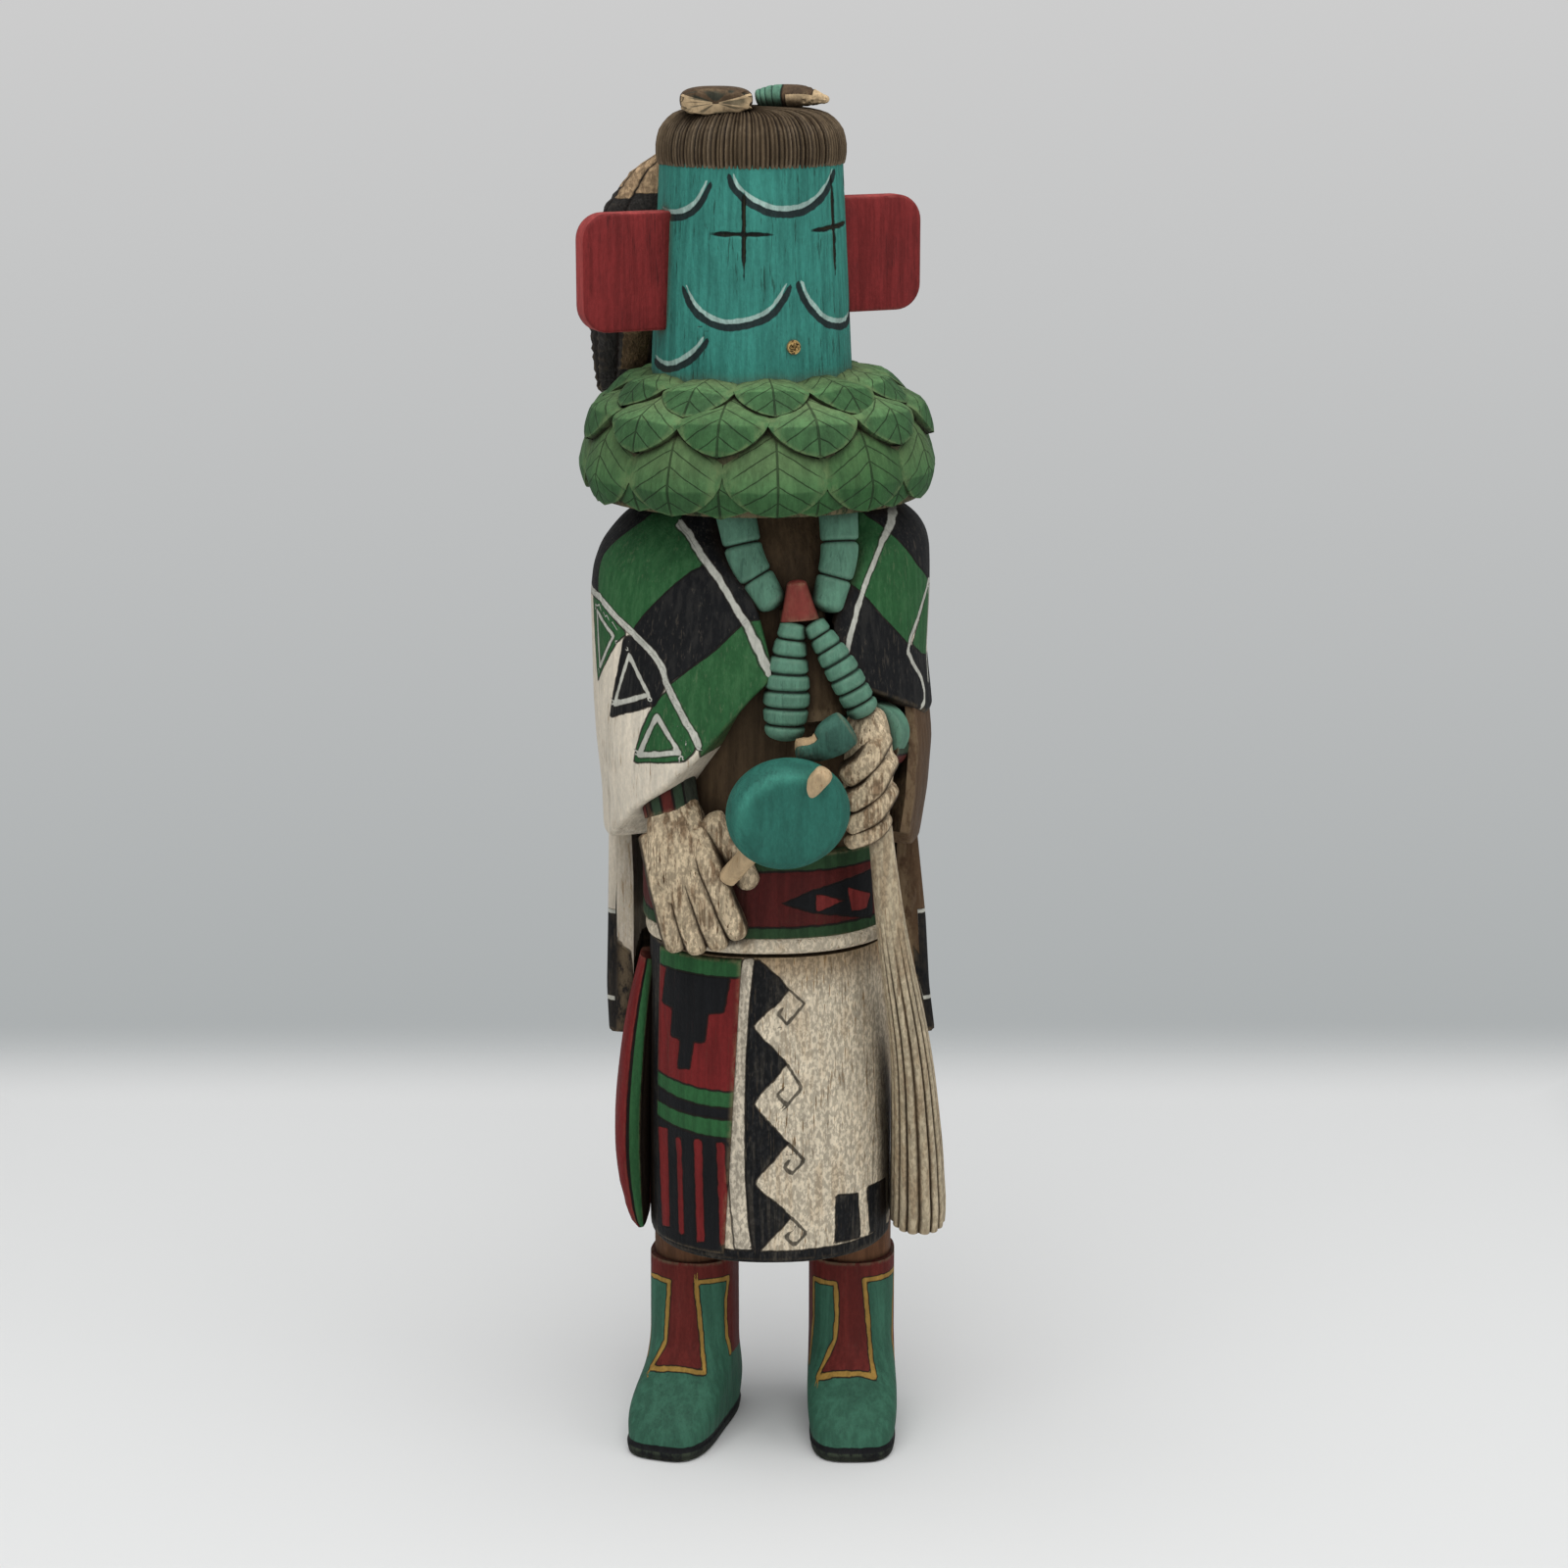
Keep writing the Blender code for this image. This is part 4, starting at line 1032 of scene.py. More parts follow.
MASK_ARCS = (
    ((-35.4, 359), (-33.5, 356.4), (-29, 354.6), (-22.3, 352.3), (-14, 350.6), (-6.2, 350), (4, 350.2),
     (12, 351), (20, 352.8), (28, 355.3), (33.5, 357.6), (37, 359.6)),
    ((-94.5, 349.3), (-85, 348.4), (-76.3, 348.5), (-66, 349.6), (-58.5, 352), (-51.9, 357.1)),
    ((-65.8, 329.9), (-61, 326.2), (-54.7, 323.6), (-46, 321.6), (-36.5, 320.9), (-24, 321.9), (-14, 323.9),
     (-8, 327), (-3.3, 330.8)),
    ((6.3, 331.2), (9.5, 327.6), (14.1, 324.9), (22, 321.6), (30.4, 320.2), (44, 319.7), (55.2, 320.6),
     (64, 323), (70, 327)),
    ((-98.7, 310.2), (-88, 309), (-76.3, 309), (-64.4, 311.3), (-57, 314), (-52.4, 316.8)),
    ((96, 349), (84, 348.4), (74, 349), (66, 351), (58, 356)),
    ((130, 330), (118, 323), (102, 320.6), (86, 323), (76, 329)),
)


def mix_paints() -> Paints:
    """Lists the doll's finishes and builds them.

    Returns:
        The finishes.
    """
    effects = Effects()
    area, line, shade = Mark.AREA, Mark.LINE, Mark.SHADE
    deep = srgb(30, 26, 22)
    dark_wood = srgb(54, 40, 30)
    cloth = (
        Layer(CLOTH_GREEN, "green", area, outline=0.22),
        Layer(BLACK, "black", area, outline=0.22),
        Layer(srgb(34, 30, 26), "white", line, widen=0.4, strength=0.7),  # the white line's dark edge
        Layer(WHITE, "white", line),
    )
    boot = (
        Layer(BOOT_RED, "red", area),
        Layer(deep, "ochre", line, widen=0.35),
        Layer(OCHRE, "ochre", line),
        Layer(BLACK, "sole", area),
    )
    finishes = (
        Paint("mask_paint", TURQUOISE, (
            Layer(srgb(30, 42, 42), "arc", line, shift=-1.25, widen=0.45),
            Layer(srgb(150, 176, 168), "arc", line, shift=0.15),
            Layer(srgb(14, 18, 18), "cut", area),
        ), under=srgb(32, 66, 58), thin=0.8, grain=0.18, fineness=520.0, worn=srgb(110, 140, 124), grime_and_shade=0.8,
            dirt_and_shade=srgb(84, 78, 56)),
        Paint("hair_paint", HAIR_BROWN, (Layer(srgb(22, 17, 13), "groove", shade),), thin=0.5,
              under=srgb(56, 46, 36), grain=0.2, fineness=700.0, grime_and_shade=0.6, wear=0.5, worn=srgb(136, 120, 100)),
        Paint("cape_paint", srgb(214, 205, 188), (Layer(UMBER, "shade", shade), *cloth),
              under=srgb(140, 114, 82), thin=0.75, grain=0.10, fineness=560.0, patches=0.12),
        Paint("kilt_paint", CREAM, (
            Layer(srgb(128, 104, 72), "shade", shade),
            Layer(srgb(184, 174, 156), "white", area, outline=0.2),
            Layer(deep, "fret", line, widen=-0.08, strength=0.85),
            Layer(BLACK, "black", area, outline=0.2),
        ), under=srgb(116, 94, 66), thin=1.05, grain=0.14, fineness=600.0, specks=0.28, patches=0.5),
        Paint("panel_paint", RED, (
            Layer(BLACK, "black", area, outline=0.3),
            Layer(CLOTH_GREEN, "green", area, outline=0.3),
            Layer(RED, "red", area, outline=0.15),
        ), thin=0.25),
        Paint("belt_paint", srgb(74, 27, 25), (
            Layer(srgb(40, 64, 40), "green", area, outline=0.3),
            Layer(BLACK, "black", area, outline=0.2),
            Layer(srgb(110, 40, 38), "red", area, outline=0.15),
        ), thin=0.25, grime_and_shade=0.6),
        Paint("cord_paint", CREAM, under=srgb(120, 98, 70), thin=0.8, grain=0.1, specks=0.22, patches=0.6),
        Paint("skin_paint", SKIN, under=srgb(48, 32, 22), thin=0.6, grain=0.2, grime_and_shade=0.6),
        Paint("hand_paint", srgb(194, 176, 147), (Layer(srgb(40, 29, 20), "groove", shade),),
              under=srgb(84, 62, 42), thin=1.2, grain=0.22, fineness=640.0, specks=0.3, patches=0.85, grime_and_shade=0.9,
              dirt_and_shade=srgb(50, 36, 24), hollow=0.003),
        Paint("cuff_paint", srgb(66, 44, 34), (
            Layer(srgb(48, 64, 48), "green", area, outline=0.35),
            Layer(srgb(84, 36, 32), "red", area, outline=0.35),
            Layer(srgb(50, 54, 46), "grey", area, outline=0.35),
        ), thin=0.4),
        Paint("stone_paint", STONE, (Layer(srgb(16, 24, 22), "groove", shade),), under=srgb(48, 76, 66),
              thin=0.5, grain=0.1, worn=srgb(110, 138, 120)),
        Paint("bead_paint", srgb(118, 54, 48), thin=0.25, grain=0.08),
        Paint("fringe_paint", srgb(180, 166, 140), (Layer(srgb(86, 70, 50), "groove", shade),),
              under=srgb(104, 82, 58), thin=0.8, specks=0.2, patches=0.6),
        # the black is partly painted shadow, on the side sash's side towards the kilt
        Paint("side_paint", RED, (
            Layer(CLOTH_GREEN, "green", area, outline=0.35),
            Layer(srgb(30, 26, 24), "black", area, outline=0.2),
        ), thin=0.25),
        # the near black hollow colour keeps the painted shade where the boots meet the floor dark
        Paint("boot_paint", BOOT_GREEN, boot, under=srgb(38, 70, 58), thin=0.5, wear=0.3,
              worn=srgb(110, 124, 96), grime_and_shade=0.6, dirt_and_shade=srgb(30, 28, 24)),
        Paint("leg_paint", srgb(96, 66, 46), thin=0.5, under=srgb(60, 40, 28), grain=0.2),
        Paint("ruff_core_paint", srgb(34, 50, 30), under=srgb(28, 34, 20), thin=0.4, grime_and_shade=0.5),
        # painted highlight: the rim layer lightens the ear's end, top and bottom faces
        Paint("ear_paint", EAR_RED, (Layer(srgb(146, 62, 60), "rim", shade),), under=srgb(66, 26, 26), thin=0.6,
              grain=0.18, fineness=620.0, wear=0.7, worn=srgb(138, 72, 66), grime_and_shade=0.4),
        Paint("stump_paint", srgb(80, 64, 48), (
            Layer(WOOD, "torn", area, outline=0.1),
            Layer(STONE, "wrap", area, outline=0.2),
            Layer(srgb(24, 44, 40), "groove", shade),
        ), under=srgb(52, 40, 30), thin=0.6, grain=0.2),
        Paint("feather_paint", srgb(100, 80, 58), (
            Layer(srgb(150, 126, 98), "tan", area),
            Layer(srgb(44, 42, 40), "dark", area),
            Layer(srgb(26, 22, 20), "groove", shade),
        ), under=dark_wood, thin=0.8, grain=0.25, specks=0.25, relief=0.0008),
        # painted highlight: the rim layer lightens the upper left of the gourd's rim
        Paint("gourd_paint", srgb(44, 100, 88), (Layer(srgb(74, 150, 132), "rim", shade),),
              under=srgb(34, 76, 68), thin=0.5, grain=0.12, fineness=300.0, relief=0.0005,
              wear=0.5, worn=srgb(96, 140, 126), grime_and_shade=0.3),
        Paint("handle_wood", WOOD, under=srgb(140, 106, 70), thin=0.6, grain=0.12, wear=0.2, grime_and_shade=0.5),
        Paint("peg_wood", srgb(190, 158, 100), (Layer(srgb(60, 40, 24), "groove", shade),),
              under=srgb(140, 96, 52), thin=0.8, grain=0.2),
        Paint("stub_paint", srgb(56, 92, 80), (Layer(srgb(160, 136, 104), "torn", area, outline=0.2),),
              under=srgb(42, 62, 54), thin=0.5),
        LeafPaint("leaf_paint", LEAF_GREEN, under=srgb(62, 74, 42), thin=0.55, grain=0.14,
                  worn=srgb(108, 126, 84), wear=0.5, dirt_and_shade=srgb(34, 30, 20), grime_and_shade=0.95),
    )
    return {finish.name: finish.material(effects) for finish in finishes}


@dataclass
class Carved:
    """A sub-assembly of the doll: its own sizes, and the finishes that it is dressed in."""

    paints: Paints


@dataclass
class Head(Carved):
    """The tapered mask, turned to the doll's left, and the grooved hair on it."""

    mask: Spots = ((296, 27.5), (305, 27), (333, 25.7), (362, 24.3))
    hair: Spots = ((360.6, 22.8), (360.1, 24), (360.5, 24.9), (362.5, 25.3), (366, 25.3), (369, 24.5),
                   (371.6, 22.8), (373.4, 20.4), (374.4, 17.6), (374.9, 13.5), (375.2, 8), (375.3, 3.5),
                   (375.4, 0.2))
    parting: tuple[float, float] = (-4, -3)
    strands: int = 128
    groove: float = 0.62
    millimetres: float = 0.454  # for one degree of turn on the mask

    def build(self) -> list[Piece]:
        """Makes the mask and the hair."""
        return [self.build_mask(), self.build_hair()]

    def mask_fields(self, turns: Array, heights: Array) -> Fields:
        """Measures the mask's cuts and arcs."""
        arcs = tuple(Stroke(rounded(arc), 0.62, taper=0.55) for arc in MASK_ARCS)
        return Pattern(self.millimetres, {"cut": MASK_CROSSES}, {"arc": arcs}, 3.6).fields(turns, heights)

    def build_mask(self) -> Piece:
        """Makes the mask with its cut crosses and hollowed arcs.

        Returns:
            The mask.
        """
        turns = spread((-180, 5), (-104, 2.1), (-34, 1.1), (-24, 2.1), (30, 1.1), (40, 2.1), (104, 5), (180, 1))
        heights = spread((296, 1.5), (308, 1), (342, 0.5), (346.5, 1), (362, 1))

        def place(turn: Array, height: Array) -> Array:
            """Lays the grid on the tapered cylinder.

            Args:
                turn: the turns.
                height: the heights.

            Returns:
                The points.
            """
            marks = self.mask_fields(turn, height)
            radius = np.interp(height, *np.array(self.mask).T)
            radius = radius - 1.3 * np.clip(marks["area_cut"], 0, 0.7)
            hollow = np.exp(-((marks["line_arc"] + 0.55) / 0.7) ** 2) * (marks["half_arc"] > 0.0)
            radius = radius - 0.35 * hollow
            angle = np.radians(turn)
            return from_head(radius * np.sin(angle), -radius * np.cos(angle), height)

        return skin("mask", turns, heights, place, self.paints["mask_paint"], self.mask_fields)

    def build_hair(self) -> Piece:
        """Makes the hair as ridges that run from the parting down to a cut fringe.

        Returns:
            The hair.
        """
        rng = np.random.default_rng(7)
        count = 2 * self.strands
        depth = self.groove * rng.uniform(0.6, 1.25, count + 1)
        length = rng.uniform(-0.35, 0.35, count + 1)
        shades = rng.uniform(0.55, 1.0, count + 1)
        swerve = rng.uniform(-0.42, 0.42, count + 1)
        depth[-1], length[-1], swerve[-1] = depth[0], length[0], swerve[0]
        rows = np.linspace(0, len(self.hair) - 1.0, 20)
        profile = np.array(self.hair)

        def fields(column: Array, row: Array) -> Fields:
            """Marks the grooves."""
            dark = (column.astype(int) % 2) * shades[column.astype(int)]
            return {"groove": dark * eased(row, 0.5, 1.8) * (0.5 + 0.5 * eased(-row, -11.5, -8))}

        def place(column: Array, row: Array) -> Array:
            """Lays the grid on the cap.

            Args:
                column: the columns.
                row: the rows.

            Returns:
                The points.
            """
            index = column.astype(int)
            height = np.interp(row, np.arange(len(profile)), profile[:, 0])
            radius = np.interp(row, np.arange(len(profile)), profile[:, 1])
            cut = depth[index] * (index % 2) * eased(row, 0.2, 1.2) * np.clip(radius / 20.0, 0, 1)
            height = height + length[index] * eased(-row, -3, 0)
            angle = 2.0 * np.pi * (column + swerve[index]) / count
            reach = radius - cut
            drawn = 1.0 - eased(radius, 0, 24)
            side = reach * np.sin(angle) + self.parting[0] * drawn
            behind = -reach * np.cos(angle) + self.parting[1] * drawn
            return from_head(side, behind, height - 0.4 * (cut > 0.0) * (row > 6.0))

        return skin("hair", np.arange(count + 1.0), rows, place, self.paints["hair_paint"], fields)


@dataclass
class Ruff(Carved):
    """The ruff of overlapping carved leaves."""

    profile: Spots = ((23.5, 306), (27.5, 304.8), (35, 301.2), (42.2, 295.4), (45.4, 288.8), (45.4, 278),
                      (44.2, 272.8))
    rows: Sequence[Point] = ((46.2, -11.3, -1.5), (45.4, 5, 0), (29.6, -11.3, 0.4), (19.6, 6, 0.4))
    leaves: int = 11
    overlap: float = 1.09
    length: float = 22.0
    outline: Spots = ((0, 0.8), (0.25, 0.95), (0.45, 1), (0.6, 0.95), (0.72, 0.83), (0.83, 0.64), (0.91, 0.44),
                      (0.965, 0.23), (1, 0))
    rise: Spots = ((0, 0.2), (0.3, 1.2), (0.62, 3.2), (0.66, 3.2), (0.8, 2.7), (1, 1.9))
    droop: float = 1.5
    thick: float = 4.4

    def point(self, turns: Array, down: Array, lift: Array) -> Array:
        """Gives points on the ruff.

        Args:
            turns: turns from the front.
            down: distances down its side from the mask.
            lift: how far each point stands off it.

        Returns:
            The points.
        """
        profile = np.array(self.profile)
        steps = np.diff(profile, axis=0)
        run = np.r_[0.0, np.cumsum(np.hypot(steps[:, 0], steps[:, 1]))]
        past = np.maximum(down - run[-1], 0)
        smooth = [np.interp(down + shift, run, column) for shift in (-2.0, 0.0, 2.0) for column in profile.T]
        radius = (smooth[0] + smooth[2] + smooth[4]) / 3.0 - 0.22 * past
        height = (smooth[1] + smooth[3] + smooth[5]) / 3.0 - 0.97 * past
        slope = np.interp(down, (run[:-1] + run[1:]) / 2.0, np.arctan2(-steps[:, 1], steps[:, 0]))
        radius = radius + lift * np.sin(slope)
        height = height + lift * np.cos(slope)
        angle = np.radians(turns)
        return np.stack([RUFF_X + radius * np.sin(angle), -radius * np.cos(angle), height], -1)

    def build(self) -> list[Piece]:
        """Makes the core and every leaf.

        Returns:
            The forms.
        """
        profile = np.array(((12.0, 305.4), *self.profile, (40.0, 272.4), (12.0, 274.0)))

        def place(turn: Array, row: Array) -> Array:
            """Lays the grid on the core.

            Args:
                turn: the turns.
                row: the rows.

            Returns:
                The points.
            """
            radius = np.interp(row, np.arange(len(profile)), profile[:, 0])
            height = np.interp(row, np.arange(len(profile)), profile[:, 1])
            angle = np.radians(turn)
            return np.stack([RUFF_X + radius * np.sin(angle), -radius * np.cos(angle), height], -1)

        forms = [skin("ruff", spread((-180, 6), (180, 1)), np.arange(float(len(profile))), place,
                      self.paints["ruff_core_paint"])]
        rng = np.random.default_rng(11)
        for row, (tip, first, lift) in enumerate(self.rows):
            for index in range(self.leaves):
                turn = first + 360.0 * index / self.leaves + rng.uniform(-1.6, 1.6)
                sag = tip + rng.uniform(-0.6, 0.5)
                # a random tone, plus painted shade that darkens the two lowest rows
                tone = rng.uniform(0.0, 1.0) + 0.9 * (row < 2)
                forms.append(self.leaf(f"leaf_{row}_{index}", turn, sag, lift, tone))
        return forms

    def leaf(self, name: str, turn: float, tip: float, lift: float, tone: float) -> Piece:
        """Makes one leaf, with a facet at its lower third and a raised middle.

        Args:
            name: its name.
            turn: where its middle is.
            tip: how far down its tip reaches.
            lift: how far its base stands off the core.
            tone: how dark its green is, at random, plus painted shade on the two lowest rows.

        Returns:
            The leaf.
        """
        half = self.overlap * 180.0 / self.leaves
        width = np.array(self.outline)

        def shares(side: Array, along: Array) -> tuple[Array, Array, Array]:
            """Splits the closed course into the leaf's face and its underside.

            Args:
                side: shares across.
                along: shares along.

            Returns:
                Places across and down, and what is under.
            """
            under = (along > 1.0) | (np.abs(side) > 1.0)
            down = np.where(along > 1.0, 2.0 - along, along)
            return np.clip(side, -1, 1) * np.interp(down, width[:, 0], width[:, 1]), down, under

        def fields(side: Array, along: Array) -> Fields:
            """Gives the leaf's own coordinates in millimetres, for its veins.

            Args:
                side: shares across.
                along: shares along.

            Returns:
                The attributes.
            """
            across, down, under = shares(side, along)
            # the underside and cut edges are marked for painted shade
            return {"leaf_side": across * 14.0, "leaf_down": down * self.length,
                    "leaf_tone": np.full(len(side), tone), "leaf_edge": under * 1.0}

        def place(side: Array, along: Array) -> Array:
            """Lays the grid on the leaf.

            Args:
                side: shares across.
                along: shares along.

            Returns:
                The points.
            """
            across, down, under = shares(side, along)
            crease = down + 0.03 * np.sin(9.0 * across + 6.0 * tone)
            raised = lift + np.interp(crease, *np.array(self.rise).T) - self.droop * across * across
            raised = np.where(under, raised - self.thick, raised)
            return self.point(turn + across * half, np.maximum(tip - self.length * (1.0 - down), 0.4), raised)

        along = np.r_[np.linspace(0, 0.6, 5), np.linspace(0.66, 1, 8), 1.0001, 2.0]
        across = np.r_[-1.01, np.linspace(-1, 1, 13), 1.01]
        return skin(name, across, along, place, self.paints["leaf_paint"], fields)


@dataclass
class Cape(Carved):
    """The painted cape: two front sides, the bent elbow under it and the long fall down the back."""

    form: Form = Form((
        (112, 0.7, 47.4, 40, 36), (130, -0.8, 46.6, 40, 37), (150, -1.1, 45.7, 42, 38),
        (176, -2.2, 44, 46, 38.4), (192, -1.2, 45.4, 46, 38.4), (206, -1.4, 46.6, 45, 38),
        (217, -2.2, 46.4, 42, 37.6), (230, -3, 45.8, 39, 37), (246, -2.8, 46.2, 35, 35.4),
        (253, -2.4, 45.8, 33, 33.8), (259, -1.4, 44.6, 30.6, 31.8), (263, -0.4, 42.6, 28.6, 29.8),
        (267, 0, 39.4, 26, 27.4), (271, 0, 33, 23, 24),
    ))
    right_edge: Spots = ((-14.5, 270.5), (-5, 252.1), (-0.6, 237.4), (0.6, 229))
    right_hem: Spots = ((0.6, 229), (-10.5, 217.6), (-18.9, 208.2), (-28.9, 198.5), (-36.3, 192), (-44, 180))
    left_edge: Spots = ((24, 271), (20, 259.5), (17, 242.4), (17, 231.8))
    left_hem: Spots = ((17, 231.8), (24, 225.3), (35.1, 219.9), (42.5, 214))
    right_line: Spots = ((-28.8, 265.1), (-22.6, 261.7), (-17, 258.2), (-9, 251), (-3.5, 243.6), (0, 236.1),
                         (2.4, 230.3))
    left_line: Spots = ((48.6, 265.4), (42.6, 262.8), (38.5, 258.6), (33.3, 250.4), (29.6, 241.5), (27.2, 234))
    tuck: float = 3.6  # how far the cloth dips beyond its painted edge line
    side_depth: float = 15.0
    back_depth: float = 7.6
    hem_round: float = 1.3
    side_end: float = 104.0
    back: tuple[float, float] = (98, 262)
    top: float = 271.0
    tail: float = 116.5

    def build(self) -> list[Piece]:
        """Makes the cape's pieces.

        Returns:
            The forms.
        """
        paint = self.paints["cape_paint"]
        right = self.side("cape_right", self.right_edge, self.right_hem, self.right_line, -self.side_end,
                          CAPE_MARKS_RIGHT, 76, paint)
        left = self.side("cape_left", self.left_edge, self.left_hem, self.left_line, self.side_end,
                         CAPE_MARKS_LEFT, 64, paint)
        return [right, left, self.fall(paint), self.elbow(paint)]

    def wrapped(self, name: str, turns: Array, outer: Array, top: Callable, foot: Callable,
                depth: float, lift: Callable, ends: float, pattern: Pattern, paint: Finish,
                shade: Callable) -> Piece:
        """Makes a slab that follows the cape's form.

        Args:
            name: its name.
            turns: its columns.
            outer: its rows as shares from 0 at the top to 1 at the hem.
            top: gives each column's top height.
            foot: gives each column's hem height.
            depth: how deep it reaches into the body.
            lift: gives how far each point stands off the form.
            ends: rounding of its first and last columns.
            pattern: its painted marks.
            paint: its finish.
            shade: gives how brown the cloth is.

        Returns:
            The slab.
        """
        rows = np.r_[outer, 1.0001, 1.3, 1.7, 2.0]

        def heights(turn: Array, row: Array) -> Array:
            """Gives each point's height."""
            share = np.where(row > 1.0, 2.0 - row, row)
            return top(turn) + (foot(turn) - top(turn)) * np.clip(share, 0, 1)

        def place(turn: Array, row: Array) -> Array:
            """Lays the grid on the form.

            Args:
                turn: the turns.
                row: the rows.

            Returns:
                The points.
            """
            height = heights(turn, row)
            inner = row > 1.0
            gap = np.minimum(top(turn) - height, height - foot(turn))
            fall = edge_drop(gap, self.hem_round)
            if ends:
                beside = np.minimum(turn - turns[0], turns[-1] - turn) * 0.8
                fall = np.maximum(fall, edge_drop(beside, ends))
            return self.form.point(turn, height, np.where(inner, -depth, lift(turn, height) - fall))

        def fields(turn: Array, row: Array) -> Fields:
            """Measures the painted marks."""
            height = heights(turn, row)
            return {**pattern.fields(turn, height), "shade": shade(turn, height)}

        return skin(name, turns, rows, place, paint, fields)

    def rows(self, count: int) -> Array:
        """Gives a slab's rows, close together at its rounded edges."""
        inner = np.linspace(0.02, 0.98, count)
        return np.r_[0.0, 0.003, 0.009, inner, 0.991, 0.997, 1.0]

    def side(self, name: str, edge: Spots, hem: Spots, line: Spots, end: float, pattern: Pattern, count: int,
             paint: Finish) -> Piece:
        """Makes one front side.

        Args:
            name: its name.
            edge: its front edge as x and height.
            hem: its hem as x and height.
            line: the turns and heights of its painted edge line.
            end: the turn at which it meets the back.
            pattern: its painted marks.
            count: its rows.
            paint: its finish.

        Returns:
            The side.
        """
        tops = sorted((self.form.turn_at(x, height), height) for x, height in edge)
        feet = sorted((self.form.turn_at(x, height), height) for x, height in hem)
        first = self.form.turn_at(*hem[0])
        turns = first + (end - first) * np.linspace(0.004, 1, count)

        def border(spots: list) -> Callable:
            """Reads one border's height at any turn, with its corners eased."""
            spots = np.array(spots)
            return lambda turn: sum(np.interp(turn + 1.6 * step, *spots.T) for step in STEPS) / 5.0

        def shade(turn: Array, height: Array) -> Array:
            """Browns the left flank, and the right one a little towards its hem."""
            return 0.95 * eased(turn, 62, 84) * (height < 228.0) + 0.12 * (turn < 0.0)

        def dip(turn: Array, height: Array) -> Array:
            """Lowers the cloth between its painted line and the necklace.

            Args:
                turn: the turns.
                height: the heights.

            Returns:
                How far the cloth is lifted.
            """
            turns_of_line, heights_of_line = np.array(line).T
            past = np.sign(-end) * (turn - np.interp(-height, -heights_of_line, turns_of_line))
            return -self.tuck * eased(past, 1.2, 13)

        return self.wrapped(name, np.sort(turns), self.rows(count), border(tops), border(feet), self.side_depth,
                            dip, 0.0, pattern, paint, shade)

    def fall(self, paint: Finish) -> Piece:
        """Makes the long fall down the back.

        Args:
            paint: its finish.

        Returns:
            The fall.
        """
        turns = spread((self.back[0], 0.5), (100, 2.6), (260, 0.5), (self.back[1], 1))

        def shade(turn: Array, height: Array) -> Array:
            """Browns the doll's left flank and the way down to the hem."""
            return 0.1 + 0.8 * eased(-turn, -125, -104) + 0.25 * eased(-height, -200, -150)

        return self.wrapped("cape_back", turns, self.rows(60), lambda turn: np.full(len(turn), self.top),
                            lambda turn: np.full(len(turn), self.tail), self.back_depth,
                            lambda turn, height: np.zeros(len(turn)), 2.6, CAPE_MARKS_BACK,
                            paint, shade)

    def elbow(self, paint: Finish) -> Piece:
        """Makes the bent elbow that shows brown under the cape's left side.

        Args:
            paint: its finish.

        Returns:
            The elbow.
        """
        return self.wrapped("elbow", spread((60, 2), (106, 1)), self.rows(20),
                            lambda turn: np.full(len(turn), 226.0),
                            lambda turn: 178.0 + 5.0 * eased(-turn, -70, -60), self.side_depth, lambda turn,
                            height: np.full(len(turn), -0.8), 2.0, Pattern(0.785, {}, {}), paint, lambda turn,
                            height: np.full(len(turn), 0.95))


